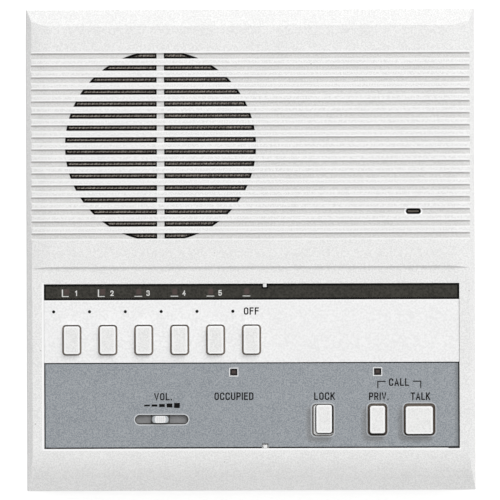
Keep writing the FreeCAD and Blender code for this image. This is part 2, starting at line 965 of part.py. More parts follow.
def stem_well(x, y, width, gap, z0, z1):
    return centred_block(x, y, width + 2 * gap, stem_length + 2 * gap, z0, z1)


def station_switches():
    left = station_x[0] - bank_overhang
    right = station_x[-1] + bank_overhang
    low = station_y - bank_width / 2
    high = station_y + bank_width / 2
    bank = block(left, right, low, high, board_top, frame_under)
    wells = [stem_well(x, station_y, stem_width, well_clearance, board_top + well_floor, frame_under)
             for x in station_x]
    keep("station_switch_bank", bank.cut(wells))

    bar_half = stem_length / 2 + latch_gap + latch_rail
    slot_left = stem_width / 2 + latch_gap + latch_travel
    slot_right = stem_width / 2 + tooth_reach + latch_gap
    slot_half = stem_length / 2 + latch_gap
    bar_left = left - latch_guide_length - latch_end_reach
    bar_right = right + latch_guide_length + latch_end_reach
    bar = block(bar_left, bar_right, station_y - bar_half, station_y + bar_half, latch_bottom, latch_top)
    bar = bar.cut([block(x - slot_left, x + slot_right, station_y - slot_half, station_y + slot_half,
                         latch_bottom, latch_top) for x in station_x])
    spring_level = (latch_bottom + latch_top) / 2
    end_tab = block(
        bar_right, bar_right + latch_thickness, station_y - stop_width / 2, station_y + stop_width / 2,
        spring_level - spring_radius - spring_wire, spring_level + spring_radius + spring_wire)
    keep("latch_bar", fuse_all([bar, end_tab]))

    stop_left = bar_right + latch_thickness + spring_length
    frame_half = bar_half + frame_thickness
    sheet = block(
        left - latch_guide_length, stop_left + frame_thickness,
        station_y - frame_half, station_y + frame_half, frame_under, frame_top)
    guides = [stem_well(x, station_y, stem_width, guide_clearance, frame_under, frame_top) for x in station_x]
    stop = block(
        stop_left, stop_left + frame_thickness, station_y - stop_width / 2, station_y + stop_width / 2,
        frame_top, frame_top + stop_height)
    pieces = [sheet.cut(guides), stop]
    for start in (left - latch_guide_length, right):
        guide = block(
            start, start + latch_guide_length, station_y - frame_half, station_y + frame_half,
            frame_top, latch_top + frame_thickness)
        gate = block(
            start, start + latch_guide_length,
            station_y - bar_half - guide_clearance, station_y + bar_half + guide_clearance,
            latch_bottom - guide_clearance, latch_top + guide_clearance)
        pieces.append(guide.cut(gate))
    keep("switch_frame", fuse_all(pieces))

    free = spring_length - 2 * spring_end_gap
    helix = Part.makeHelix(spring_pitch, free - 2 * spring_wire, spring_radius)
    turns = [2 * math.pi * k / spring_wire_sides for k in range(spring_wire_sides + 1)]
    section = Part.makePolygon([
        Vector(spring_radius + spring_wire * math.cos(t), 0, spring_wire * math.sin(t)) for t in turns])
    coil = Part.Wire(helix.Edges).makePipeShell([section], True, True)
    start = bar_right + latch_thickness + spring_end_gap + spring_wire
    coil.Placement = FreeCAD.Placement(
        Vector(start, station_y, spring_level), FreeCAD.Rotation(Vector(0, 1, 0), 90))
    keep("latch_spring", coil)


def function_switches():
    bodies = []
    for name, x in function_x.items():
        stem = function_stem(name)
        half_x = stem / 2 + function_switch_margin
        half_y = stem_length / 2 + function_switch_margin
        body = block(x - half_x, x + half_x, function_y - half_y, function_y + half_y, board_top, frame_top)
        well = stem_well(x, function_y, stem, guide_clearance, board_top + well_floor, frame_top)
        bodies.append(body.cut(well))
    keep("function_switches", *bodies)


def key_board():
    board = block(
        panel_left + key_board_margin, panel_right - key_board_margin,
        panel_start + key_board_front, panel_end + key_board_front, board_under, board_top)
    holes = [rod(board_screw_radius + screw_clearance, x, y, board_under, board_top)
             for x, y in key_board_posts()]
    keep("key_board", board.cut(holes))


def lamp(x, y):
    top = recess_floor - lamp_sink
    body = block(
        x - lamp_width / 2, x + lamp_width / 2, y - lamp_length / 2, y + lamp_length / 2,
        top - lamp_height, top)
    half = lamp_lead / 2
    leads = [block(x - half, x + half, y + side * lamp_length / 4 - half, y + side * lamp_length / 4 + half,
                   board_top, top - lamp_height) for side in (-1, 1)]
    return fuse_all([body] + leads)


def lamps():
    keep("station_lamps", *[lamp(x, lamp_y) for x in lamp_x])
    keep("status_lamps", *[lamp(x, status_y) for x in status_x])
    half = housing_length / 2
    housing = block(
        lamp_x[0] - housing_overhang, lamp_x[-1] + housing_overhang, lamp_y - half, lamp_y + half,
        board_top, floor_under - housing_top_gap)
    holes = [block(x - lamp_width / 2 - lamp_gap, x + lamp_width / 2 + lamp_gap,
                   lamp_y - lamp_length / 2 - lamp_gap, lamp_y + lamp_length / 2 + lamp_gap,
                   board_top, floor_under) for x in lamp_x]
    keep("lamp_housing", housing.cut(holes))


def volume_control():
    # The knob has round ends, a flat ribbed grip in the middle and shoulders that slope down from it.
    knob_top = plate_top + volume_knob_rise
    shoulder = knob_top - volume_grip_rise
    half_knob = volume_knob_length / 2
    half_grip = volume_grip_length / 2
    round_ended = slot_block(knob_x, volume_y, volume_knob_length, volume_knob_width, recess_floor, knob_top)
    profile = prism_along_y([
        (knob_x - half_knob, recess_floor),
        (knob_x - half_knob, shoulder),
        (knob_x - half_grip, knob_top),
        (knob_x + half_grip, knob_top),
        (knob_x + half_knob, shoulder),
        (knob_x + half_knob, recess_floor),
    ], volume_y - volume_knob_width, volume_y + volume_knob_width)
    cap = round_ended.common(profile)
    cap = cap.makeFillet(volume_grip_round, edges_at(cap, knob_top))
    ribs = [centred_block(
        knob_x + (k - (grip_rib_count - 1) / 2) * grip_rib_pitch, volume_y, grip_rib_width,
        volume_knob_width, knob_top - grip_rib_depth, knob_top) for k in range(grip_rib_count)]
    cap = cap.cut(ribs)
    shutter_top = recess_floor - shutter_gap
    shutter_reach = volume_slot_length / 2 + volume_travel + shutter_overlap
    half = shutter_width / 2
    shutter = block(
        knob_x - shutter_reach, knob_x + shutter_reach, volume_y - half, volume_y + half,
        shutter_top - shutter_thickness, shutter_top)
    neck_half = volume_neck / 2
    neck = block(
        knob_x - neck_half, knob_x + neck_half, volume_y - neck_half / 2, volume_y + neck_half / 2,
        shutter_top - shutter_thickness, recess_floor)
    lever = block(
        knob_x - lever_length / 2, knob_x + lever_length / 2, volume_y - lever_width / 2,
        volume_y + lever_width / 2, recess_floor - lever_depth, shutter_top)
    handle = fuse_all([neck, lever])
    keep("volume_knob", cap.fuse(handle))
    keep("volume_shutter", shutter.cut(handle))

    body = block(
        volume_x - potentiometer_length / 2, volume_x + potentiometer_length / 2,
        volume_y - potentiometer_width / 2, volume_y + potentiometer_width / 2,
        board_top, board_top + potentiometer_height)
    reach = lever_length / 2 + volume_travel + window_gap
    side = lever_width / 2 + guide_clearance
    well = block(
        volume_x - reach, volume_x + reach, volume_y - side, volume_y + side,
        recess_floor - lever_depth - lever_well_gap, board_top + potentiometer_height)
    keep("volume_potentiometer", body.cut(well))


def loudspeaker():
    x, y = speaker_x, speaker_y
    cloth_under = field_under - cloth_thickness
    keep("speaker_cloth", rod(cloth_radius, x, y, cloth_under, field_under))
    keep("speaker_gasket", ring(gasket_radius, gasket_bore, x, y, gasket_under(), cloth_under))

    rim_top = gasket_under()
    rim_under = rim_top - cone_thickness
    throat = rim_top - cone_depth
    keep("speaker_cone", turned([
        (cone_rim, rim_top),
        (cone_edge, rim_top),
        (coil_radius, throat),
        (coil_radius, throat - coil_length),
        (coil_radius + coil_wall, throat - coil_length),
        (coil_radius + coil_wall, throat - cone_thickness),
        (cone_edge, rim_under),
        (cone_rim, rim_under),
    ], x, y))
    slope = cone_depth / (cone_edge - coil_radius)
    cap_base = throat + (cap_radius - coil_radius) * slope
    sphere = (cap_radius ** 2 + cap_rise ** 2) / (2 * cap_rise)
    centre = cap_base + cap_rise - sphere
    half_turn = math.asin(cap_radius / sphere) / 2
    inner = sphere - cap_thickness
    inner_edge = math.sqrt(inner ** 2 - (cap_base - centre) ** 2)
    inner_turn = math.asin(inner_edge / inner) / 2
    keep("speaker_dust_cap", turned([
        (0, cap_base + cap_rise),
        (sphere * math.sin(half_turn), centre + sphere * math.cos(half_turn), cap_radius, cap_base),
        (inner_edge, cap_base),
        (inner * math.sin(inner_turn), centre + inner * math.cos(inner_turn), 0, centre + inner),
    ], x, y))

    flange_bottom = flange_under()
    floor_top = flange_bottom - basket_depth
    basket = turned([
        (gasket_radius, rim_under),
        (flange_bore, rim_under),
        (basket_bottom_radius - basket_wall, floor_top),
        (pole_radius + basket_wall * 2, floor_top),
        (pole_radius + basket_wall * 2, floor_top - basket_wall),
        (basket_bottom_radius, floor_top - basket_wall),
        (basket_top_radius, flange_bottom),
        (gasket_radius, flange_bottom),
    ], x, y)
    windows = []
    for k in range(basket_windows):
        window = block(
            x + basket_bottom_radius - basket_wall * 2, x + basket_top_radius,
            y - basket_window_width / 2, y + basket_window_width / 2,
            floor_top + basket_window_margin, flange_bottom - basket_window_margin)
        windows.append(window.rotate(Vector(x, y, 0), Vector(0, 0, 1), 360 / basket_windows * (k + 0.5)))
    tag_level = flange_bottom - speaker_tag_depth
    tag = block(
        x + basket_bottom_radius, x + basket_top_radius + speaker_tag_reach, y - speaker_tag_width / 2,
        y + speaker_tag_width / 2, tag_level - basket_wall, tag_level)
    funnel = turned([
        (0, flange_bottom), (basket_top_radius - basket_wall, flange_bottom),
        (basket_bottom_radius - basket_wall, floor_top), (0, floor_top),
    ], x, y)
    keep("speaker_basket", fuse_all([basket.cut(windows), tag.cut(funnel)]))

    plate_level = floor_top - basket_wall
    magnet_level = plate_level - top_plate_thickness
    yoke_level = magnet_level - magnet_thickness
    gap_radius = coil_radius + coil_wall + (coil_radius - pole_radius)
    top_plate = ring(top_plate_radius, gap_radius, x, y, magnet_level, plate_level)
    keep("speaker_magnet", ring(magnet_radius, magnet_bore, x, y, yoke_level, magnet_level))
    yoke = rod(top_plate_radius, x, y, yoke_level - yoke_thickness, yoke_level)
    pole = rod(pole_radius, x, y, yoke_level, plate_level)
    keep("speaker_pole_plates", top_plate, fuse_all([yoke, pole]))

    clamps = []
    clamp_screws = []
    seat = flange_bottom - clamp_thickness
    for clamp_x, clamp_y in clamp_places():
        turn = math.degrees(math.atan2(clamp_y - y, clamp_x - x))
        outer = clamp_circle + clamp_width / 2
        clamp = block(
            x + outer - clamp_length, x + outer, y - clamp_width / 2, y + clamp_width / 2,
            seat, flange_bottom)
        clamp = clamp.rotate(Vector(x, y, 0), Vector(0, 0, 1), turn)
        hole = rod(board_screw_radius + screw_clearance, clamp_x, clamp_y, seat, flange_bottom)
        clamps.append(clamp.cut(hole))
        shank = clamp_thickness + field_under - flange_bottom - screw_clearance
        clamp_screws.append(screw(
            clamp_x, clamp_y, seat, board_screw_radius, shank, screw_head_radius, screw_head_height))
    keep("speaker_clamps", *clamps)
    keep("clamp_screws", *clamp_screws)

    landing = main_board_left + lead_landing
    level = tag_level - basket_wall - lead_bend - lead_radius
    start_x = x + basket_top_radius + speaker_tag_reach / 2
    wires = []
    for side in (-1, 1):
        wire_y = y + side * lead_spread
        wires.append(tube([
            Vector(start_x, y + side * speaker_tag_width / 4, tag_level - basket_wall),
            Vector(start_x, y + side * speaker_tag_width / 4, level),
            Vector(landing, wire_y, level),
            Vector(landing, wire_y, main_board_under),
        ], lead_radius, lead_bend))
    keep("speaker_leads", *wires)


def microphone():
    x, y = microphone_x, microphone_y
    outer = capsule_radius + boot_wall
    boot = rod(outer, x, y, field_under - boot_height, field_under)
    bore = rod(
        capsule_radius + boot_clearance, x, y, field_under - boot_height, field_under - boot_top)
    slot = slot_block(
        x, y, microphone_slot_length, microphone_slot_width, field_under - boot_top, field_under)
    keep("microphone_boot", boot.cut([bore, slot]))
    capsule_top = field_under - boot_top
    capsule = rod(capsule_radius, x, y, capsule_top - capsule_height, capsule_top)
    port = rod(capsule_radius / 4, x, y, capsule_top - boot_top / 2, capsule_top)
    keep("microphone_capsule", capsule.cut(port))
    keep("microphone_leads", *[
        rod(microphone_lead_radius, x + side * microphone_lead_spread, y, main_board_top,
            capsule_top - capsule_height) for side in (-1, 1)])


def main_board():
    board = block(
        main_board_left, main_board_right, main_board_start, main_board_end, main_board_under, main_board_top)
    holes = [rod(board_screw_radius + screw_clearance, x, y, main_board_under, main_board_top)
             for x, y in main_board_posts()]
    keep("main_board", board.cut(holes))
    screws = []
    for x, y in main_board_posts():
        screws.append(screw(
            x, y, main_board_under, board_screw_radius, board_thickness + board_screw_depth - screw_clearance,
            screw_head_radius, screw_head_height))
    for x, y in key_board_posts():
        screws.append(screw(
            x, y, board_under, board_screw_radius, board_thickness + board_screw_depth - screw_clearance,
            screw_head_radius, screw_head_height))
    keep("board_screws", *screws)
    transformer()
    board_components()


def transformer():
    half_length = transformer_length / 2
    x = main_board_left + main_post_inset * 2 + transformer_width / 2
    y = main_board_end - main_post_inset - coil_overhang - half_length
    half = transformer_width / 2
    bottom = main_board_under - transformer_height
    core = block(x - half, x + half, y - half_length, y + half_length, bottom, main_board_under)
    limb = transformer_limb / 2
    windows = [
        block(x - half + transformer_yoke, x - limb, y - half_length, y + half_length,
              bottom + transformer_yoke, main_board_under - transformer_yoke),
        block(x + limb, x + half - transformer_yoke, y - half_length, y + half_length,
              bottom + transformer_yoke, main_board_under - transformer_yoke),
    ]
    keep("transformer_core", core.cut(windows))
    outer = half - transformer_yoke - winding_gap
    reach = half_length + coil_overhang
    low = bottom + transformer_yoke + winding_gap
    high = main_board_under - transformer_yoke - winding_gap
    coil = block(x - outer, x + outer, y - reach, y + reach, low, high)
    coil = coil.makeFillet(coil_overhang / 2, [edge for edge in coil.Edges
                                               if edge.BoundBox.ZLength > (high - low) / 2])
    hole = block(
        x - limb - winding_gap, x + limb + winding_gap, y - half_length - winding_gap,
        y + half_length + winding_gap, low, high)
    keep("transformer_coil", coil.cut(hole))


def board_components():
    # Parts soldered to the underside of the main board.
    base = main_board_under
    capacitors = []
    columns = [(small_can_radius, small_can_height), (large_can_radius, large_can_height)]
    for column, (radius, height) in enumerate(columns):
        x = main_board_right - capacitor_inset - column * capacitor_spacing
        for row in range(capacitor_rows):
            y = main_board_end - capacitor_spacing - row * capacitor_spacing
            can = rod(radius, x, y, base - height, base)
            can = can.makeFillet(radius / 8, edges_at(can, base - height))
            capacitors.append(can)
    keep("capacitors", *capacitors)

    chip_x = (main_board_left + main_board_right) / 2
    chip_y = main_board_start + chip_row
    keep("amplifier_chip", block(
        chip_x - chip_width / 2, chip_x + chip_width / 2, chip_y - chip_thickness, chip_y,
        base - chip_height, base))
    sink = block(
        chip_x - sink_width / 2, chip_x + sink_width / 2, chip_y, chip_y + sink_plate,
        base - sink_height, base)
    fins = []
    for k in range(sink_fins):
        fin_x = chip_x + (k / (sink_fins - 1) - 0.5) * (sink_width - sink_plate)
        fins.append(block(
            fin_x - sink_plate / 2, fin_x + sink_plate / 2, chip_y, chip_y + sink_plate + sink_fin_reach,
            base - sink_height, base))
    keep("heat_sink", fuse_all([sink] + fins))

    resistors = []
    row_x = main_board_left + main_post_inset * 3
    row_y = main_board_start + main_post_inset * 3
    for k in range(resistor_count):
        y = row_y + k * resistor_pitch
        level = base - resistor_radius - resistor_lead
        body = Part.makeCylinder(
            resistor_radius, resistor_length, Vector(row_x, y, level), Vector(1, 0, 0))
        pieces = [body]
        for end, side in ((row_x, -1), (row_x + resistor_length, 1)):
            x0, x1 = sorted((end, end + side * resistor_radius))
            pieces.append(block(
                x0, x1, y - resistor_lead, y + resistor_lead, level - resistor_lead, level + resistor_lead))
            foot = end + side * resistor_radius
            pieces.append(block(
                foot - resistor_lead, foot + resistor_lead, y - resistor_lead, y + resistor_lead,
                level - resistor_lead, base))
        resistors.append(fuse_all(pieces))
    keep("resistors", *resistors)

    transistors = []
    row_x = (main_board_left + main_board_right) / 2
    row_y = main_board_start + main_post_inset * 2
    for k in range(transistor_count):
        x = row_x + k * transistor_pitch
        can_top = base - transistor_leg
        can = rod(transistor_radius, x, row_y, can_top - transistor_height, can_top)
        flat = block(
            x - transistor_radius, x + transistor_radius, row_y - transistor_radius,
            row_y - transistor_radius / 2, base - transistor_leg - transistor_height, base - transistor_leg)
        legs = [block(x + shift - resistor_lead, x + shift + resistor_lead, row_y - resistor_lead,
                      row_y + resistor_lead, base - transistor_leg, base)
                for shift in (-transistor_radius / 2, 0, transistor_radius / 2)]
        transistors.append(fuse_all([can.cut(flat)] + legs))
    keep("transistors", *transistors)

    left = main_board_left + connector_left
    right = left + connector_width
    rear_y = main_board_start + connector_thickness / 2 + ribbon_margin / 2
    front_y = panel_end + key_board_front - connector_thickness / 2 - ribbon_margin / 2
    half = connector_thickness / 2
    rear = block(left, right, rear_y - half, rear_y + half, base - connector_height, base)
    front = block(left, right, front_y - half, front_y + half, board_under - connector_height, board_under)
    keep("ribbon_connectors", rear, front)
    plugs = [(rear_y, base - connector_height), (front_y, board_under - connector_height)]
    level = min(top for y, top in plugs) - ribbon_sag
    bottom = level - ribbon_bend
    thin = ribbon_thickness / 2
    loop = ribbon_loop(front_y - thin, rear_y + thin, bottom, ribbon_bend)
    hollow = ribbon_loop(
        front_y + thin, rear_y - thin, bottom + ribbon_thickness, ribbon_bend - ribbon_thickness)
    band_left = left + ribbon_margin
    band_right = right - ribbon_margin
    band = prism_along_x(loop, band_left, band_right).cut(prism_along_x(hollow, left, right))
    legs = [block(band_left, band_right, y - thin, y + thin, level, top) for y, top in plugs]
    keep("ribbon_cable", fuse_all([band] + legs))


def ribbon_loop(front, rear, bottom, bend):
    # Side outline of the hanging ribbon's bight.
    corner = bend * (1 - math.sqrt(0.5))
    return [
        (front, bottom + bend),
        (front + corner, bottom + corner, front + bend, bottom),
        (rear - bend, bottom),
        (rear - corner, bottom + corner, rear, bottom + bend),
    ]


def rear_cover():
    half = half_width - cover_inset
    front = cover_front + cover_inset
    rear = cover_rear - cover_inset
    tub = block(-half, half, front, rear, foot_height, part_level)
    tub = tub.makeFillet(rear_cover_edge, edges_at(tub, foot_height))
    inside = block(-half + wall, half - wall, front + wall, rear - wall, floor_level, part_level)
    depth = -(face_front_height + face_rise)
    inner = half_width - wall - lip_clearance
    start = wall + lip_clearance
    lip_out = block(-inner, inner, start, case_length - start, depth, floor_under)
    thin = lip_thickness
    lip_in = block(
        -inner + thin, inner - thin, start + thin, case_length - start - thin, depth, floor_under)
    band = block(-half, half, front, rear, part_level - wall, part_level + lip_height)
    lip = on_face(lip_out.cut(lip_in)).common(band)
    tower_top = foot_height + screw_well_depth + screw_tower_cap
    additions = [lip]
    cutters = []
    for x, y in screw_posts():
        additions.append(rod(screw_well_radius + screw_tower_wall, x, y, foot_height + wall / 2, tower_top))
        cutters.append(rod(screw_well_radius, x, y, foot_height, foot_height + screw_well_depth))
        cutters.append(rod(case_screw_radius + screw_clearance, x, y, foot_height, tower_top))
    bay = block(bay_left - wall, bay_right + wall, bay_start - wall, bay_end + wall,
                foot_height + wall / 2, bay_roof + wall)
    channel_half = channel_width / 2
    duct = block(
        channel_x - channel_half - wall, channel_x + channel_half + wall, bay_end, rear - wall / 2,
        foot_height + wall / 2, channel_roof + wall)
    additions += [bay, duct]
    cutters.append(block(bay_left, bay_right, bay_start, bay_end, foot_height, bay_roof))
    cutters.append(block(
        channel_x - channel_half, channel_x + channel_half, bay_end, rear + wall, foot_height, channel_roof))
    for x, y in foot_places():
        cutters.append(rod(foot_radius + foot_clearance, x, y, foot_height, foot_height + foot_sink))
    for side in (-1, 1):
        y = side * keyhole_spacing / 2
        cutters.append(rod(keyhole_radius, 0, y, foot_height, floor_level))
        cutters.append(slot_block(
            0, y, keyhole_slot_width, keyhole_slot_width, foot_height, floor_level))
        cutters.append(rounded_block(
            0, y + keyhole_slot_length / 2, keyhole_slot_width, keyhole_slot_length + keyhole_slot_width,
            keyhole_slot_width / 2, foot_height, floor_level))
    for k in range(vent_count):
        y = vent_y + (k - (vent_count - 1) / 2) * vent_pitch
        cutters.append(slot_block(speaker_x, y, vent_length, vent_width, foot_height, floor_level))
    cutters.append(block(
        plate_x - rating_plate_width / 2 - rating_plate_gap,
        plate_x + rating_plate_width / 2 + rating_plate_gap,
        plate_y - rating_plate_length / 2 - rating_plate_gap,
        plate_y + rating_plate_length / 2 + rating_plate_gap, foot_height, foot_height + rating_plate_sink))
    for x in terminal_places():
        cutters.append(rod(
            strap_screw_radius, x, bay_start + terminal_margin, bay_roof, bay_roof + terminal_leg))
    screw_x = strap_screw_places()
    cutters += [rod(strap_screw_radius + thread_clearance, x, strap_y(), bay_roof, bay_roof + wall / 2)
                for x in screw_x]
    keep_desk("rear_cover", fuse_all([tub.cut(inside)] + additions).cut(cutters))


def foot_places():
    return [(x, y) for x in (-foot_x, foot_x) for y in (-foot_y, foot_y)]


def rubber_feet():
    feet = []
    for x, y in foot_places():
        foot = rod(foot_radius, x, y, 0, foot_height + foot_sink)
        feet.append(foot.makeFillet(foot_edge, edges_at(foot, 0)))
    keep_desk("rubber_feet", *feet)


def case_screws():
    seat = foot_height + screw_well_depth
    keep_desk("case_screws", *[
        screw(x, y, seat, case_screw_radius, screw_tower_cap + case_screw_depth - screw_clearance,
              case_screw_head, case_screw_head_height) for x, y in screw_posts()])


def terminal_places():
    middle = (bay_left + bay_right) / 2
    return [middle + (k - (terminal_count - 1) / 2) * terminal_pitch for k in range(terminal_count)]


def terminals():
    places = terminal_places()
    half = terminal_pitch / 2
    front = bay_start + terminal_margin
    under = bay_roof - terminal_height
    body = block(places[0] - half, places[-1] + half, front, front + terminal_depth, under, bay_roof)
    cutters = []
    screws = []
    middle = front + terminal_depth / 2
    for x in places:
        cutters.append(rod(
            terminal_screw_radius + thread_clearance, x, middle, under, under + terminal_screw_height))
        cutters.append(Part.makeCylinder(
            wire_hole_radius, terminal_depth / 2, Vector(x, middle, (under + bay_roof) / 2), Vector(0, 1, 0)))
        head = rod(terminal_screw_radius, x, middle, under + terminal_screw_height - terminal_screw_sink,
                   under + terminal_screw_height)
        groove = block(
            x - terminal_screw_radius, x + terminal_screw_radius,
            middle - terminal_screw_radius / 6, middle + terminal_screw_radius / 6,
            under, under + terminal_screw_height - terminal_screw_sink / 2)
        screws.append(head.cut(groove))
    keep_desk("terminal_block", body.cut(cutters))
    keep_desk("terminal_screws", *screws)


def strap_y():
    return bay_end - strap_margin - strap_length / 2


def strap_screw_places():
    reach = (strap_width + strap_arch_width) / 4
    return [channel_x - reach, channel_x + reach]


def cable_strap():
    half = strap_width / 2
    y0 = strap_y() - strap_length / 2
    y1 = strap_y() + strap_length / 2
    under = bay_roof - strap_thickness
    arch = strap_arch_width / 2
    strap = block(channel_x - half, channel_x + half, y0, y1, under, bay_roof)
    strap = strap.cut(block(
        channel_x - arch, channel_x + arch, y0, y1, bay_roof - strap_arch_height, bay_roof))
    holes = [rod(strap_screw_radius + screw_clearance, x, strap_y(), under, bay_roof)
             for x in strap_screw_places()]
    keep_desk("cable_strap", strap.cut(holes))
    keep_desk("strap_screws", *[
        screw(x, strap_y(), under, strap_screw_radius, strap_thickness + wall / 2 - screw_clearance,
              strap_screw_head, strap_screw_head_height) for x in strap_screw_places()])


def rating_plate():
    level = foot_height + rating_plate_sink
    half_x = rating_plate_width / 2
    half_y = rating_plate_length / 2
    keep_desk("rating_plate", block(
        plate_x - half_x, plate_x + half_x, plate_y - half_y, plate_y + half_y,
        level - rating_plate_thickness, level))


front_cover()
panel_plates()
keys()
station_switches()
function_switches()
key_board()
lamps()
volume_control()
loudspeaker()
microphone()
main_board()
rear_cover()
rubber_feet()
case_screws()
terminals()
cable_strap()
rating_plate()

os.makedirs("parts", exist_ok=True)
for node_name, node_shape in nodes.items():
    node_shape.exportStep(f"parts/{node_name}.step")
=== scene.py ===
import bpy
import bmesh
import json
import math
from mathutils import Matrix, Vector


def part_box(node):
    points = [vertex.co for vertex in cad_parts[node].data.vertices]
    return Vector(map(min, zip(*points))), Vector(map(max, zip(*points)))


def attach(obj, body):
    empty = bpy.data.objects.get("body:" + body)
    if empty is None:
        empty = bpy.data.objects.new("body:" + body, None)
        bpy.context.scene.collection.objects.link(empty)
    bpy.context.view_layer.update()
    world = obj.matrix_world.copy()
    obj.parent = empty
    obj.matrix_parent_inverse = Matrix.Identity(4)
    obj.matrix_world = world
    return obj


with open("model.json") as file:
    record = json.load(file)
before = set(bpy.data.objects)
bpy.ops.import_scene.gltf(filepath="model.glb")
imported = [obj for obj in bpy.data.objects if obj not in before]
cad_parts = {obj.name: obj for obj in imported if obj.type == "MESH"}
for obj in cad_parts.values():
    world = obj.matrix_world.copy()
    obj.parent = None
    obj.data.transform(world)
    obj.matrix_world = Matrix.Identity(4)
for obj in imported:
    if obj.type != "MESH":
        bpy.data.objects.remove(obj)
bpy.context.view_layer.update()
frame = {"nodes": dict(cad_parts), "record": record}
mm = 0.001
print("frame loaded")


# The face frame: x across, v up the sloping face, w out of it, all in millimetres.
joints = {joint["name"]: joint for joint in frame["record"]["behaviour"]["joints"]}
pressAxis = joints["talk_key_press"]["axis"]
face = {
    "wedge": math.atan2(pressAxis[1], -pressAxis[2]),
    "frontHeight": 37.5,
    "edgeDrop": 4.2,
    "plateTop": -0.4,
    "floor": -2,
}
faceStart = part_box("front_cover")[0][1] / mm - face["edgeDrop"] * math.sin(face["wedge"])
faceMatrix = (
    Matrix.Translation(Vector((0, faceStart * mm, face["frontHeight"] * mm)))
    @ Matrix.Rotation(face["wedge"], 4, "X")
    @ Matrix.Scale(mm, 4)
)


def onFace(x, v, w):
    return faceMatrix @ Vector((x, v, w))


def centred(x, v, halfX, halfV):  # the sides of a rectangle round its middle
    return x - halfX, x + halfX, v - halfV, v + halfV


# Where the sunk panel's plates and keys are on the face.
panel = {
    "left": -89.95, "right": 90.45, "front": 18.5, "cardFront": 55.5, "lampFront": 83.2, "rear": 89.85,
    "gap": 0.5, "clear": 0.02, "shadeHeight": 0.85, "tabX": 6.05, "tabNotch": 2.9, "tabReach": 2.1,
    "cornerShadeX": 85.6, "cornerShadeFront": 18.17, "cornerShadeRear": 19.04,
}
keyPlaces = {
    "stationFirst": -77.87, "stationPitch": 15.61, "stationRow": 65.6, "stationCount": 6, "stationWidth": 6.8,
    "stationLength": 12.05, "stationHole": (8.4, 13.3), "capCorner": 1, "holeCorner": 1.7,
    "lower": [(28.2, 35, 24.96, 37.16), (51.55, 58.05, 24.75, 36.65), (67.075, 78.825, 24.4, 36.4)],
    "lowerHoles": [(26.5, 35.7, 23.75, 37.5), (50.7, 58.9, 23.9, 37.5), (66.35, 79.75, 23.9, 37.5)],
}
slotPlaces = {
    "volume": (-50.35, -27.55, 29.1, 33.1), "volumeCorner": 2,
    "microphone": (67.5, 73.9, 120.09, 122.35), "microphoneCorner": 1.12,
    "statusX": (-7.58, 54.92), "statusRow": 51.55, "statusHalf": (1.5, 1.4),
}
grooves = {
    "middle": 110.795, "pitch": 5.213, "half": 1.375, "first": 109, "last": 190.95, "reach": 95.3,
    "level": 1.15, "wall": -1.1, "grilleX": -39.05, "grilleV": 149.89, "grilleRadius": 41.5,
}


class Wire:  # a socket with arithmetic: each operation adds its Math node
    def __init__(self, finish, socket):
        self.finish = finish
        self.socket = socket

    def maths(self, operation, *values):
        return self.finish.node("ShaderNodeMath", {"operation": operation}, dict(enumerate(values)))

    def __add__(self, other):
        return self.maths("ADD", self, other)

    def __radd__(self, other):
        return self.maths("ADD", other, self)

    def __sub__(self, other):
        return self.maths("SUBTRACT", self, other)

    def __rsub__(self, other):
        return self.maths("SUBTRACT", other, self)

    def __mul__(self, other):
        return self.maths("MULTIPLY", self, other)

    def __rmul__(self, other):
        return self.maths("MULTIPLY", other, self)

    def __truediv__(self, other):
        return self.maths("DIVIDE", self, other)

    def above(self, level):
        return self.maths("GREATER_THAN", self, level)

    def sine(self):
        return self.maths("SINE", self)

    def most(self, other):
        return self.maths("MAXIMUM", self, other)

    def least(self, other):
        return self.maths("MINIMUM", self, other)

    def size(self):
        return self.maths("ABSOLUTE", self)

    def between(self, low, high):
        return self.above(low) * (1 - self.above(high))

    def root(self):
        return self.maths("SQRT", self)

    def folded(self, pitch):  # distance from the nearest multiple of the pitch, with its sign
        return self - self.maths("ROUND", self / pitch) * pitch

    def fade(self, low, high):  # 0 at the low value, 1 at the high one
        return self.finish.node("ShaderNodeMapRange", {}, {0: self, 1: low, 2: high})


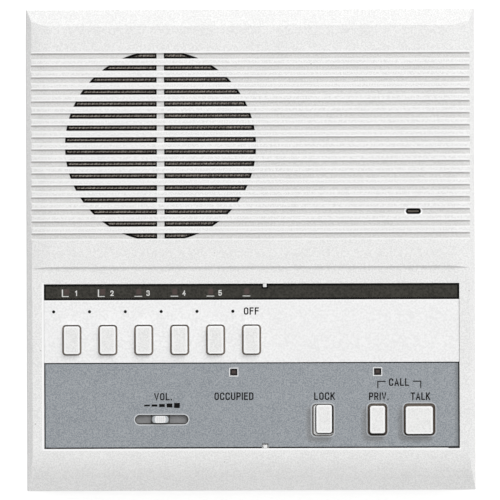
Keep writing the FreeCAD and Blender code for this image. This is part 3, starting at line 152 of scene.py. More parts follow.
class Finish:  # one material and its Principled shader
    def __init__(self, name, **values):
        self.material = bpy.data.materials.new(name)
        self.material.use_nodes = True
        self.tree = self.material.node_tree
        self.tree.nodes.clear()
        self.output = self.tree.nodes.new("ShaderNodeOutputMaterial")
        self.shader = self.tree.nodes.new("ShaderNodeBsdfPrincipled")
        self.tree.links.new(self.shader.outputs[0], self.output.inputs[0])
        for socket, value in values.items():
            self.shader.inputs[socket.replace("_", " ")].default_value = value

    def node(self, kind, settings=None, inputs=None, out=0):
        made = self.tree.nodes.new(kind)
        for key, value in (settings or {}).items():
            if key == "stops":
                ramp = made.color_ramp.elements
                while len(ramp) < len(value):
                    ramp.new(0.5)
                for element, (place, level) in zip(ramp, value):
                    element.position = place
                    element.color = (level, level, level, 1)
            else:
                setattr(made, key, value)
        for key, value in (inputs or {}).items():
            if isinstance(value, Wire):
                self.tree.links.new(value.socket, made.inputs[key])
            else:
                made.inputs[key].default_value = value
        return Wire(self, made.outputs[out])

    def place(self, stretch=(1, 1, 1)):  # object coordinates in millimetres
        spot = self.node("ShaderNodeTexCoord", out="Object")
        scale = tuple(1 / mm * part for part in stretch)
        return self.node("ShaderNodeVectorMath", {"operation": "MULTIPLY"}, {0: spot, 1: scale})

    def onAxis(self, name):  # object coordinates along x, v or w of the face, in millimetres
        turned = faceMatrix.to_3x3().normalized().col["xvw".index(name)]
        spot = self.node("ShaderNodeTexCoord", out="Object")
        reach = self.node("ShaderNodeVectorMath", {"operation": "DOT_PRODUCT"}, {0: spot, 1: turned}, "Value")
        return reach * (1 / mm) - onFace(0, 0, 0).dot(turned) / mm

    def beyond(self, x0, x1, v0, v1, radius=0):  # distance outside a rounded rectangle, negative inside it
        across = (self.onAxis("x") - (x0 + x1) / 2).size() - ((x1 - x0) / 2 - radius)
        along = (self.onAxis("v") - (v0 + v1) / 2).size() - ((v1 - v0) / 2 - radius)
        corner = across.most(0) * across.most(0) + along.most(0) * along.most(0)
        return corner.root() + across.most(along).least(0) - radius

    def parts(self, vector):
        split = self.node("ShaderNodeSeparateXYZ", {}, {0: vector}).socket.node
        return [Wire(self, socket) for socket in split.outputs]

    def noise(self, spot, size, detail=2, roughness=0.5):
        return self.node("ShaderNodeTexNoise", {}, {
            "Vector": spot, "Scale": 1 / size, "Detail": detail, "Roughness": roughness})

    def cells(self, spot, size):
        return self.node("ShaderNodeTexVoronoi", {}, {"Vector": spot, "Scale": 1 / size}, "Distance")

    def mottle(self, *layers):  # noises about their middle, each times its weight
        return sum((layer - 0.5) * weight for layer, weight in layers)

    def ramp(self, value, stops):
        return self.node("ShaderNodeValToRGB", {"stops": stops}, {"Fac": value})

    def blend(self, amount, first, second):
        ends = [value if isinstance(value, Wire) else (*value[:3], 1) for value in (first, second)]
        return self.node("ShaderNodeMix", {"data_type": "RGBA"}, {0: amount, 6: ends[0], 7: ends[1]}, 2)

    def layered(self, colour, *layers):  # each layer is an amount and the colour laid there
        for amount, tone in layers:
            colour = self.blend(amount, colour, tone)
        return colour

    def feed(self, socket, value):
        self.tree.links.new(value.socket, self.shader.inputs[socket])

    def roughen(self, look, *layers):
        self.feed("Roughness", self.mottle(*layers) + look["roughness"])

    def relief(self, height, depth):  # depth in millimetres
        self.feed("Normal", self.node("ShaderNodeBump", {}, {"Height": height, "Distance": depth * mm}))


def shaded(colour, factor):
    return tuple(part * factor for part in colour)


# Tones shared by painted highlights on edges, painted shade in joints and grooves, and dirt.
edgeTones = {"highlight": (0.99, 0.99, 0.99), "shade": (0.03, 0.028, 0.026), "dirtAndShade": (0.365, 0.35, 0.335)}
keyEdge = {"rim": 0.75, "tone": (0.97, 0.97, 0.965)}


def keyEdges(finish, colour):  # a painted highlight on the rim of each key's top
    places = keyPlaces
    across = (finish.onAxis("x") - places["stationFirst"]).folded(places["stationPitch"]).size()
    along = (finish.onAxis("v") - places["stationRow"]).size()
    reach = (across - places["stationWidth"] / 2).most(along - places["stationLength"] / 2)
    for corners in places["lower"]:
        reach = reach.least(finish.beyond(*corners))
    return finish.blend(reach.above(-keyEdge["rim"]), colour, keyEdge["tone"])


caseEdge = {
    "grooveShade": 0.13, "wallShade": 0.28, "deepBand": (0.55, 1.02), "deepShade": 0.58, "ribHighlight": 0.52,
    "ribShine": 0.7, "recessDark": 0.1, "recessRear": 0.12, "recessRim": 0.9, "recessSide": 0.06,
    "side": 97.1, "leftSideShade": (0.72, 0.72, 0.72), "lockRim": 0.6, "lockReach": 1.3,
    "lockRimShade": (0.25, 0.235, 0.22), "speckApart": 11, "speckSize": 0.03, "speckTone": 0.55,
    "slotInner": -1, "slotDark": 0.08, "slotRim": 0.8,
}


def caseEdges(finish, colour):
    x, v, w = finish.onAxis("x"), finish.onAxis("v"), finish.onAxis("w")
    look, half = caseEdge, grooves["half"]
    highlight, shade, dirtAndShade = edgeTones["highlight"], edgeTones["shade"], edgeTones["dirtAndShade"]
    # Painted shade in a brown dirt tone darkens the grooves, most of all under their rear edge, and a painted
    # highlight lies along the ribs' rear edges.
    offMiddle = (v - grooves["middle"]).folded(grooves["pitch"])
    field = v.between(grooves["first"], grooves["last"]) * (1 - x.size().above(grooves["reach"]))
    sunk = field * (1 - w.above(grooves["level"])) * offMiddle.between(grooves["wall"], half)
    low = sunk * (1 - offMiddle.fade(grooves["wall"], 0))
    deep = sunk * offMiddle.between(*look["deepBand"])
    dx, dv = x - grooves["grilleX"], v - grooves["grilleV"]
    grille = 1 - (dx * dx + dv * dv).root().above(grooves["grilleRadius"])
    outer = half + look["ribHighlight"]
    rib = offMiddle.between(half, outer) + offMiddle.between(-outer, -half) * grille.most(look["ribShine"])
    # A painted highlight lies on the recess's moulded edge on its left and front sides, and painted shade
    # just beside its front, right and rear edges.
    reach = finish.beyond(panel["left"], panel["right"], panel["front"], panel["rear"])
    lit = (panel["left"] - x).most(panel["front"] - v).above(0)
    front = (panel["front"] - v).between(0, look["recessDark"])
    right = (x - panel["right"]).between(0, look["recessSide"])
    rear = (v - panel["rear"]).between(0, look["recessRear"])
    dark = front.most(right).most(rear) * (1 - reach.above(look["recessRear"]))
    # Painted shade in the joint at the panel's lower right corner.
    cornerShade = x.between(panel["cornerShadeX"], panel["right"]) * v.between(panel["cornerShadeFront"], panel["front"])
    # Painted shade darkens the outside of the lock key's rim on its left.
    window = keyPlaces["lowerHoles"][0]
    rim = finish.beyond(*window).between(-look["lockRim"], 0) * (1 - w.above(face["plateTop"]))
    rim = rim * (1 - (x - window[0]).above(look["lockReach"]))
    specks = 1 - finish.cells(finish.place(), look["speckApart"]).above(look["speckSize"])
    # A painted highlight rings the microphone slot, with painted shade just inside its edge.
    slot = finish.beyond(*slotPlaces["microphone"], slotPlaces["microphoneCorner"])
    # The left side gets painted shade; the specks are dirt.
    return finish.layered(
        colour, (sunk * look["grooveShade"], dirtAndShade), (low * look["wallShade"], dirtAndShade),
        (deep * look["deepShade"], dirtAndShade), (rib * field, highlight),
        (reach.between(0, look["recessRim"]) * lit, highlight), (dark, shade), (cornerShade, shade),
        (1 - x.above(-look["side"]), look["leftSideShade"]), (rim, look["lockRimShade"]),
        (specks * look["speckTone"], dirtAndShade), (slot.between(look["slotDark"], look["slotRim"]), highlight),
        (slot.between(look["slotInner"], look["slotDark"]), shade))


cardEdge = {"rim": 0.45}


def cardEdges(finish, colour):  # a painted highlight along the card's rear edge
    edge = panel["lampFront"] - panel["gap"] / 2 - cardEdge["rim"]
    return finish.blend(finish.onAxis("v").above(edge), colour, edgeTones["highlight"])


stripEdge = {"rim": 0.36, "tone": (0.006, 0.006, 0.005)}


def stripEdges(finish, colour):  # painted shade along the strip's edges
    gap = panel["gap"]
    left, right = panel["left"] + gap, panel["right"] - gap
    reach = finish.beyond(left, right, panel["lampFront"] + gap / 2, panel["rear"] - gap)
    return finish.blend(reach.above(-stripEdge["rim"]), colour, stripEdge["tone"])


bezelEdge = {"shadeReach": 0.1}


def bezelEdges(finish, colour):  # painted shade round the inside of each status lamp's bezel
    row, halves = slotPlaces["statusRow"], slotPlaces["statusHalf"]
    reach = [finish.beyond(*centred(x, row, *halves)) for x in slotPlaces["statusX"]]
    return finish.blend(1 - reach[0].least(reach[1]).above(bezelEdge["shadeReach"]), colour, edgeTones["shade"])


lampEdge = {"start": 0.4, "depth": 1.5, "tone": (0.04, 0.032, 0.03)}


def lampEdges(finish, colour):  # the near part of each status lamp is in shade
    low = slotPlaces["statusRow"] - lampEdge["start"]
    foot = finish.onAxis("v").between(low - lampEdge["depth"], low)
    return finish.blend(foot, colour, lampEdge["tone"])


knobEdge = {
    "x": -39.55, "row": 31.1, "grip": 2.35, "gripRound": 1.35, "reach": 3.75, "half": 1.6, "rim": 0.12,
    "ribPitch": 0.85, "ribHalf": 0.15, "ribReach": 1.5, "ribTone": 0.25, "bright": 1.05, "edge": 3.4,
    "dark": (0.54, 0.57, 0.59), "foot": (0.3, 0.31, 0.32),
}


def knobEdges(finish, colour):  # a round-ended grip with painted highlights along its long edges, faint ribs drawn in painted shade, and painted shade on the shoulders and round the outside
    look = knobEdge
    x, row, half = look["x"], look["row"], look["half"]
    off = finish.onAxis("x") - x
    rib = (off - look["ribPitch"] / 2).folded(look["ribPitch"]).size()
    ribs = (1 - rib.above(look["ribHalf"])) * (1 - off.size().above(look["ribReach"]))
    grip = finish.beyond(*centred(x, row, look["grip"], half), look["gripRound"])
    body = finish.beyond(*centred(x, row, look["reach"], half), half)
    ends = (finish.onAxis("v") - row).size().above(look["bright"])
    outside = body.above(-look["rim"]).most(off.size().above(look["edge"]))
    return finish.layered(colour, (ends, edgeTones["highlight"]), (ribs * look["ribTone"], look["dark"]),
                          (grip.above(0), look["dark"]), (outside, look["foot"]))


shutterEdge = {"beside": (3.5, 4.2), "front": 1.6, "tone": (0.09, 0.088, 0.085)}


def shutterEdges(finish, colour):  # painted shade on the strip under the knob, beside it and along the front
    beside = (finish.onAxis("x") - knobEdge["x"]).size().between(*shutterEdge["beside"])
    front = 1 - finish.onAxis("v").above(knobEdge["row"] - shutterEdge["front"])
    return finish.blend(beside.most(front), colour, shutterEdge["tone"])


capsuleEdge = {"rim": 0.8}


def capsuleEdges(finish, colour):  # the felt is black where the slot's edge shades it
    slot = finish.beyond(*slotPlaces["microphone"], slotPlaces["microphoneCorner"])
    return finish.blend(slot.above(-capsuleEdge["rim"]), colour, edgeTones["shade"])


sealEdge = {"lower": (0.112, 0.09, 0.075), "dust": (0.22, 0.19, 0.165), "behind": (0.12, 0.1, 0.088)}


def sealEdges(finish, colour):  # the seals are dark brown; painted shade darkens the station keys' seals behind them and the lower keys' seals, less behind those keys and most in front
    v = finish.onAxis("v")
    behind = v.above(keyPlaces["stationRow"] + keyPlaces["stationLength"] / 2)
    lower = 1 - v.above(panel["cardFront"])
    shadeBehindLower = v.between(keyPlaces["lower"][2][3], panel["cardFront"])
    front = 1 - v.above(keyPlaces["lower"][1][2])
    return finish.layered(colour, (behind, sealEdge["behind"]), (lower, sealEdge["lower"]),
                          (shadeBehindLower, sealEdge["dust"]), (front, edgeTones["shade"]))


plateEdge = {
    "holeDark": 0.24, "highlightRim": 0.66, "highlightTone": (0.5, 0.525, 0.55), "lockRing": (0.26, 0.25, 0.24),
    "grimeLeft": 1.6, "grimeFront": 1.8, "grimeFade": 1.8, "grimeTone": 0.36, "grimeDark": (0.13, 0.115, 0.1),
    "slotDark": 0.17, "slotSide": 0.08, "slotRim": 0.62, "slotPale": (0.6, 0.62, 0.64),
    "leftShade": 0.14, "rightShade": 2.4, "sideDark": (0.16, 0.17, 0.18),
}


def plateEdges(finish, colour):  # the punched holes and the volume slot get a painted highlight round them and painted shade just inside; painted shadows fall left of and in front of the lower keys, and painted shade lies along the right and left sides
    look, corner, fade = plateEdge, keyPlaces["holeCorner"], plateEdge["grimeFade"]
    for hole in keyPlaces["lowerHoles"]:
        x0, x1, v0, v1 = hole
        # Painted shadow of each lower key, falling to its left and front.
        grime = finish.beyond(x0 - look["grimeLeft"], x1 - fade, v0 - look["grimeFront"], v1 - fade, corner)
        reach = finish.beyond(*hole, corner)
        ring = look["lockRing"] if hole == keyPlaces["lowerHoles"][0] else sealEdge["lower"]
        colour = finish.layered(colour, ((1 - grime.fade(0, fade)) * look["grimeTone"], look["grimeDark"]),
                                (reach.between(look["holeDark"], look["highlightRim"]), look["highlightTone"]),
                                (1 - reach.above(look["holeDark"]), ring))
    x0, x1, v0, v1 = slotPlaces["volume"]
    side, dark = look["slotSide"], look["slotDark"]
    reach = finish.beyond(x0 - side, x1 + side, v0, v1 - dark, slotPlaces["volumeCorner"])
    x, v = finish.onAxis("x"), finish.onAxis("v")
    # Painted shade on the plate at the panel's lower right corner.
    cornerShade = x.above(panel["cornerShadeX"]) * (1 - v.above(panel["cornerShadeRear"]))
    left = 1 - x.above(panel["left"] + panel["gap"] + look["leftShade"])
    shade = x.fade(panel["right"] - look["rightShade"], panel["right"]).most(left)
    return finish.layered(colour, (reach.between(dark, look["slotRim"]), look["slotPale"]),
                          (1 - reach.above(dark), shutterEdge["tone"]), (cornerShade, edgeTones["shade"]),
                          (shade, look["sideDark"]))


edgeTints = {
    "keyWhite": keyEdges, "caseWhite": caseEdges, "cardWhite": cardEdges, "smokedWindow": stripEdges,
    "bezelGrey": bezelEdges, "micFelt": capsuleEdges, "sealBrown": sealEdges, "lampRed": lampEdges,
    "knobWhite": knobEdges, "shutterGrey": shutterEdges, "controlGrey": plateEdges,
}


def tinted(finish, name, colour):
    return edgeTints[name](finish, colour) if name in edgeTints else colour


def mouldedPlastic(name, look):
    look = {**plasticBase, **look}
    finish = Finish(name, Specular_IOR_Level=look["specular"])
    spot = finish.place()
    grain = finish.noise(spot, look["grain"], look["grainDetail"], look["broken"])
    cloud = finish.noise(spot, look["cloud"])
    fleck = finish.noise(spot, look["fleck"], look["fleckDetail"], look["broken"])
    tone = finish.mottle(*zip((grain, cloud, fleck), look["tones"])) + 0.5
    dark, light = (shaded(look["colour"], 1 + side * look["spread"]) for side in (-1, 1))
    colour = finish.blend(tone, dark, light)
    if "rim" in look:  # a painted highlight or painted shade between two heights on the face
        colour = finish.blend(finish.onAxis("w").between(*look["rimLevels"]), colour, look["rim"])
    finish.feed("Base Color", tinted(finish, name, colour))
    finish.roughen(look, (cloud, look["cloudGloss"]), (grain, look["grainGloss"]))
    finish.relief(grain * look["grainDepth"] + fleck, look["relief"])
    return finish.material


plasticBase = {  # tones: the weights of grain, cloud and fleck
    "specular": 0.5, "roughness": 0.5, "grain": 0.3, "fleck": 0.8, "cloud": 5, "spread": 0.1,
    "relief": 0.006, "tones": (1.4, 0.6, 1.2), "grainDetail": 3, "fleckDetail": 1, "broken": 0.6,
    "cloudGloss": 0.12, "grainGloss": 0.1, "grainDepth": 0.5,
}
# rim with rimLevels paints a highlight on the card's edges and the keys' tops, and shade low on the smoked
# window and the red lenses.
plasticLooks = {
    "caseWhite": {"colour": (0.836, 0.836, 0.83), "fleck": 0.6, "cloud": 9, "spread": 0.09, "relief": 0.025,
                  "tones": (1.6, 0.4, 3.2)},
    "baseWhite": {"colour": (0.7, 0.7, 0.68), "roughness": 0.55, "cloud": 12, "spread": 0.05,
                  "relief": 0.025, "tones": (1.6, 0.8, 2.4)},
    "cardWhite": {"colour": (0.888, 0.888, 0.888), "roughness": 0.42, "grain": 0.5, "fleck": 0.9,
                  "cloud": 14, "spread": 0.06, "relief": 0.01, "tones": (1.2, 0.4, 3),
                  "rim": (0.95, 0.95, 0.95), "rimLevels": (-0.62, -0.42)},
    "keyWhite": {"colour": (0.855, 0.855, 0.847), "roughness": 0.28, "grain": 0.4, "spread": 0.06,
                 "relief": 0.008, "tones": (1.2, 0.6, 3), "rim": (0.96, 0.96, 0.955),
                 "rimLevels": (1.4, 1.96)},
    "knobWhite": {"colour": (0.85, 0.85, 0.85), "roughness": 0.2, "grain": 0.5, "fleck": 1, "cloud": 4,
                  "spread": 0.03, "relief": 0.002, "tones": (0.8, 0.5, 1)},
    "shutterGrey": {"colour": (0.27, 0.27, 0.275), "roughness": 0.45, "grain": 0.4, "fleck": 0.9,
                    "tones": (1.2, 0.6, 1.6)},
    "bezelGrey": {"colour": (0.78, 0.79, 0.8), "roughness": 0.4, "cloud": 4, "spread": 0.05,
                  "relief": 0.004, "tones": (1.2, 0.5, 1.2)},
    "innerWhite": {"colour": (0.75, 0.75, 0.73), "fleck": 1, "cloud": 6, "spread": 0.03,
                   "tones": (1.2, 0.6, 1.2)},
    "switchBlack": {"colour": (0.025, 0.025, 0.026), "roughness": 0.45, "grain": 0.25, "fleck": 1,
                    "spread": 0.25},
    "smokedWindow": {"colour": (0.042, 0.04, 0.034), "specular": 0.15, "roughness": 0.3, "grain": 0.6,
                     "fleck": 0.9, "cloud": 11, "spread": 0.3, "relief": 0.003, "tones": (1.4, 0.5, 3),
                     "rim": (0.008, 0.008, 0.008), "rimLevels": (-2, -0.46)},
    "lampRed": {"colour": (0.068, 0.047, 0.043), "roughness": 0.25, "cloud": 3, "spread": 0.12,
                "relief": 0.002, "tones": (1, 0.6, 1.4), "rim": (0.006, 0.005, 0.005),
                "rimLevels": (-2.1, -0.6)},
    "tapeBlack": {"colour": (0.008, 0.008, 0.008), "specular": 0.1, "roughness": 0.7, "spread": 0.25,
                  "relief": 0.01},
    "leadGrey": {"colour": (0.35, 0.35, 0.34), "fleck": 1, "cloud": 4, "spread": 0.06, "relief": 0.004,
                 "tones": (1, 0.6, 1.2)},
    "sleeveBlue": {"colour": (0.02, 0.05, 0.2), "roughness": 0.3, "grain": 0.4, "fleck": 1, "cloud": 4,
                   "relief": 0.003, "tones": (1, 0.6, 1.2)},
    "resistorTan": {"colour": (0.5, 0.36, 0.22), "roughness": 0.4, "grain": 0.2, "cloud": 2,
                    "relief": 0.004, "tones": (1, 0.8, 1.2)},
    "ferriteGrey": {"colour": (0.06, 0.06, 0.065), "roughness": 0.6, "fleck": 1.2, "cloud": 6,
                    "spread": 0.2, "relief": 0.02, "tones": (1.6, 0.8, 1.8)},
    "rubberBlack": {"colour": (0.025, 0.025, 0.026), "roughness": 0.78, "grain": 0.35, "fleck": 1.2,
                    "spread": 0.3, "relief": 0.02, "tones": (1.6, 0.9, 1.8)},
}


def printedGrey(name, look):  # matt screen-printed plate with a faint speckle
    finish = Finish(name, IOR=look["ior"])
    spot = finish.place()
    speckle = finish.noise(spot, look["speckle"], roughness=look["broken"])
    patch = finish.noise(spot, look["patch"])
    pores = finish.cells(spot, look["pore"])
    tone = finish.mottle(*zip((speckle, patch, pores), look["tones"])) + 0.5
    finish.feed("Base Color", tinted(finish, name, finish.blend(tone, look["dark"], look["light"])))
    finish.roughen(look, (speckle, look["gloss"]))
    finish.relief(speckle + pores * look["poreDepth"], look["relief"])
    return finish.material


controlLook = {  # tones: the weights of speckle, patch and pores
    "dark": (0.235, 0.26, 0.286), "light": (0.387, 0.409, 0.432), "ior": 1.45, "roughness": 0.5,
    "gloss": 0.25, "speckle": 0.46, "patch": 7, "pore": 0.7, "broken": 0.65, "tones": (6, 0.4, 0.5),
    "poreDepth": 0.4, "relief": 0.006,
}


def wovenCloth(name, look):
    finish = Finish(name, Specular_IOR_Level=look["specular"], Sheen_Weight=look["sheen"],
                    Sheen_Roughness=look["sheenRough"])
    spot = finish.place()
    across, along = finish.parts(spot)[:2]
    turn = 2 * math.pi / look["pitch"]
    wobble = finish.noise(spot, look["wobbleSize"]) * look["wobble"]
    weft = (across * turn + wobble).sine() * 0.5 + 0.5
    warp = (along * turn + wobble).sine() * 0.5 + 0.5
    over = ((across * (turn / 2)).sine() * (along * (turn / 2)).sine()).above(0)
    height = weft * over + warp * (1 - over)
    fuzz = finish.noise(spot, look["fuzz"], look["fuzzDetail"], look["broken"])
    patch, dust = finish.noise(spot, look["patch"]), finish.noise(spot, look["dust"], look["dustDetail"])
    mottle = finish.mottle(*zip((fuzz, patch, dust), look["tones"]))
    weave = finish.blend(height * look["threadTone"] + mottle, look["dark"], look["light"])
    # Painted shade darkens the cloth beside the louvres, by the centre bar and at the grille's rim, so the
    # middle of each slot stays bright.
    offCentre = (finish.onAxis("v") - look["slotMiddle"]).folded(grooves["pitch"]).size()
    dx, dv = finish.onAxis("x") - grooves["grilleX"], finish.onAxis("v") - grooves["grilleV"]
    beside = offCentre.above(look["slotBright"]).most(1 - dx.size().above(look["barShade"]))
    beside = beside.most((dx * dx + dv * dv).root().above(grooves["grilleRadius"] - look["endShade"]))
    finish.feed("Base Color", finish.blend(beside, weave, look["shade"]))
    finish.roughen(look, (fuzz, look["gloss"]))
    finish.relief(height + fuzz * look["fuzzDepth"], look["relief"])
    return finish.material


clothLook = {  # tones: the weights of fuzz, patch and dust
    "dark": (0.06, 0.05, 0.045), "light": (0.66, 0.6, 0.54), "shade": (0.006, 0.005, 0.005), "pitch": 0.8,
    "slotMiddle": 110.93, "slotBright": 0.38, "barShade": 2.3, "endShade": 0.9, "specular": 0.1,
    "sheen": 0.04, "sheenRough": 0.5, "wobbleSize": 1.6, "wobble": 0.9, "fuzz": 0.12, "fuzzDetail": 3,
    "broken": 0.7, "patch": 6, "dust": 0.9, "dustDetail": 1, "threadTone": 0.75,
    "tones": (0.6, 0.4, 1.4), "roughness": 0.82, "gloss": 0.2, "fuzzDepth": 0.3, "relief": 0.12,
}


def brushedMetal(name, look):
    look = {**metalBase, **look}
    finish = Finish(name, Metallic=1)
    lines = finish.noise(finish.place(look["stretch"]), look["lines"], look["detail"], look["broken"])
    cloud = finish.noise(finish.place(), look["cloud"], look["detail"])
    stain = finish.ramp(finish.noise(finish.place(), *look["stainNoise"]), look["stainStops"])
    base = finish.blend(lines, shaded(look["colour"], look["lineShade"]), look["colour"])
    colour = finish.blend(stain * look["stain"], base, shaded(look["colour"], look["stainShade"]))
    finish.feed("Base Color", colour)
    finish.roughen(look, (lines, look["lineGloss"]), (cloud, look["cloudGloss"]))
    finish.relief(lines, look["relief"])
    return finish.material


metalBase = {
    "lines": 0.35, "cloud": 5, "detail": 3, "broken": 0.6, "stainNoise": (2.2, 4, 0.7), "relief": 0.006,
    "stainStops": [(0.55, 0), (0.72, 1)], "lineShade": 0.86, "stainShade": 0.55, "lineGloss": 0.2,
    "cloudGloss": 0.15,
}
metalLooks = {
    "zincSteel": {"colour": (0.62, 0.62, 0.6), "roughness": 0.36, "stretch": (1, 6, 6), "stain": 0.35},
    "screwYellow": {"colour": (0.66, 0.58, 0.36), "roughness": 0.32, "stretch": (1, 1, 1), "stain": 0.5},
    "sinkAluminium": {"colour": (0.78, 0.78, 0.77), "roughness": 0.34, "stretch": (6, 6, 1), "stain": 0.2},
    "blankPlate": {"colour": (0.74, 0.74, 0.73), "roughness": 0.38, "stretch": (0.15, 8, 8), "stain": 0.25},
}


def phenolicBoard(name, look):
    finish = Finish(name, IOR=look["ior"])
    spot = finish.place()
    fibre = finish.noise(finish.place(look["stretch"]), *look["fibreNoise"])
    cloud = finish.noise(spot, look["cloud"])
    tracks = finish.ramp(finish.noise(spot, *look["trackNoise"]), look["trackStops"])
    base = finish.blend(fibre, look["dark"], look["light"])
    finish.feed("Base Color", finish.blend(tracks * look["trackTone"], base, look["track"]))
    finish.roughen(look, (cloud, look["gloss"]))
    finish.relief(fibre + tracks * look["trackDepth"], look["relief"])
    return finish.material


boardLook = {
    "dark": (0.17, 0.095, 0.035), "light": (0.3, 0.19, 0.075), "track": (0.16, 0.2, 0.06), "trackTone": 0.35,
    "stretch": (1, 4, 1), "fibreNoise": (0.9, 4, 0.7), "cloud": 9, "trackNoise": (7, 0),
    "trackStops": [(0.47, 0), (0.5, 1)], "ior": 1.5, "roughness": 0.36, "gloss": 0.25, "trackDepth": 0.6,
    "relief": 0.015,
}


def feltedPaper(name, look):
    look = {**paperBase, **look}
    finish = Finish(name, IOR=look["ior"])
    fibres = finish.noise(finish.place(look["stretch"]), *look["fibreNoise"])
    cloud = finish.noise(finish.place(), look["cloud"])
    tone = fibres * look["fibreTone"] + cloud * (1 - look["fibreTone"])
    finish.feed("Base Color", tinted(finish, name, finish.blend(tone, look["dark"], look["light"])))
    finish.roughen(look, (fibres, look["gloss"]))
    finish.relief(fibres, look["relief"])
    return finish.material


paperBase = {"ior": 1.4, "stretch": (1, 3, 1), "fibreNoise": (0.4, 5, 0.75), "cloud": 5, "fibreTone": 0.7,
             "roughness": 0.85, "gloss": 0.15, "relief": 0.04}
paperLooks = {
    "conePaper": {"dark": (0.02, 0.02, 0.02), "light": (0.075, 0.072, 0.068)},
    "gasketCard": {"dark": (0.2, 0.14, 0.08), "light": (0.4, 0.3, 0.19)},
    "sealBrown": {"dark": (0.2, 0.165, 0.14), "light": (0.34, 0.295, 0.26)},
    "micFelt": {"dark": (0.3, 0.25, 0.21), "light": (0.8, 0.7, 0.6)},
}


def woundCoil(name, look):
    finish = Finish(name, IOR=look["ior"], Coat_Weight=look["coat"])
    spot = finish.place()
    turns = (finish.parts(spot)[2] * look["turns"]).sine() * 0.5 + 0.5
    cloud = finish.noise(spot, *look["cloudNoise"])
    tone = turns * look["turnTone"] + cloud * (1 - look["turnTone"])
    finish.feed("Base Color", finish.blend(tone, look["dark"], look["light"]))
    finish.roughen(look, (cloud, look["gloss"]))
    finish.relief(turns, look["relief"])
    return finish.material


coilLook = {"dark": (0.42, 0.24, 0.03), "light": (0.66, 0.46, 0.1), "ior": 1.5, "coat": 0.3, "turns": 9,
            "cloudNoise": (3, 3), "turnTone": 0.6, "roughness": 0.4, "gloss": 0.3, "relief": 0.06}


def printInk(name, colour):
    look = inkLook
    finish = Finish(name, Specular_IOR_Level=look["specular"])
    spot = finish.place()
    grain, cloud = finish.noise(spot, *look["grainNoise"]), finish.noise(spot, look["cloud"])
    tone = grain * look["grainTone"] + cloud * (1 - look["grainTone"])
    dark, light = (shaded(colour, 1 + side * look["spread"]) for side in (-1, 1))
    finish.feed("Base Color", finish.blend(tone, dark, light))
    finish.roughen(look, (grain, look["gloss"]))
    finish.relief(grain, look["relief"])
    return finish.material


inkLook = {"specular": 0.1, "grainNoise": (0.12, 3, 0.7), "cloud": 1.2, "grainTone": 0.6, "spread": 0.15,
           "roughness": 0.5, "gloss": 0.3, "relief": 0.003}
inkColours = {
    "inkDark": (0.012, 0.0115, 0.0115),
    "inkBlack": (0.004, 0.004, 0.004),
    "inkWhite": (0.72, 0.72, 0.7),
}


makers = [
    (mouldedPlastic, plasticLooks), (brushedMetal, metalLooks), (feltedPaper, paperLooks),
    (printedGrey, {"controlGrey": controlLook}), (wovenCloth, {"speakerCloth": clothLook}),
    (phenolicBoard, {"phenolicBoard": boardLook}), (woundCoil, {"woundCoil": coilLook}),
    (printInk, inkColours),
]
finishes = {name: make(name, look) for make, looks in makers for name, look in looks.items()}
print("finishes made:", len(finishes))

nodeFinish = {
    "caseWhite": ["front_cover"],
    "baseWhite": ["rear_cover"],
    "smokedWindow": ["lamp_window"],
    "cardWhite": ["name_card"],
    "controlGrey": ["control_plate"],
    "keyWhite": ["station_key_%d" % k for k in range(1, 6)] + [
        "off_key", "lock_key", "private_key", "talk_key"],
    "knobWhite": ["volume_knob"],
    "shutterGrey": ["volume_shutter"],
    "bezelGrey": ["status_bezels"],
    "lampRed": ["status_lenses", "station_lamps", "status_lamps"],
    "innerWhite": ["lamp_housing", "cable_strap"],
    "micFelt": ["microphone_capsule"],
    "switchBlack": ["station_switch_bank", "function_switches", "volume_potentiometer", "terminal_block",
                    "ribbon_connectors", "transistors", "amplifier_chip"],
    "zincSteel": ["switch_frame", "latch_bar", "latch_spring", "speaker_basket", "speaker_pole_plates",
                  "transformer_core", "speaker_clamps"],
    "screwYellow": ["board_screws", "clamp_screws", "case_screws", "terminal_screws", "strap_screws"],
    "phenolicBoard": ["key_board", "main_board"],
    "speakerCloth": ["speaker_cloth"],
    "gasketCard": ["speaker_gasket"],
    "conePaper": ["speaker_cone", "speaker_dust_cap"],
    "ferriteGrey": ["speaker_magnet"],
    "rubberBlack": ["microphone_boot", "rubber_feet"],
    "leadGrey": ["speaker_leads", "microphone_leads", "ribbon_cable"],
    "woundCoil": ["transformer_coil"],
    "sleeveBlue": ["capacitors"],
    "resistorTan": ["resistors"],
    "sinkAluminium": ["heat_sink"],
    "blankPlate": ["rating_plate"],
}
for finishName, nodeNames in nodeFinish.items():
    for nodeName in nodeNames:
        mesh = frame["nodes"][nodeName].data
        mesh.materials.clear()
        mesh.materials.append(finishes[finishName])
print("finishes given to", sum(len(names) for names in nodeFinish.values()), "nodes")


softEdges = {
    "angle": 28, "segments": 2, "keyRadius": 0.18, "keySegments": 3,
    "radii": {"name_card": 0.12, "control_plate": 0.1, "lamp_window": 0.15, "rating_plate": 0.1},
}


def soften(nodeName, width, segments):  # small moulded radius on sharp edges
    rounding = frame["nodes"][nodeName].modifiers.new("edgeRadius", "BEVEL")
    rounding.width = width * mm
    rounding.segments = segments
    rounding.angle_limit = math.radians(softEdges["angle"])
    rounding.harden_normals = True


for nodeName, width in softEdges["radii"].items():
    soften(nodeName, width, softEdges["segments"])
for nodeName in nodeFinish["keyWhite"]:
    soften(nodeName, softEdges["keyRadius"], softEdges["keySegments"])
print("edges softened")


def placed(name, data):  # a new object in the scene
    made = bpy.data.objects.new(name, data)
    bpy.context.scene.collection.objects.link(made)
    return made


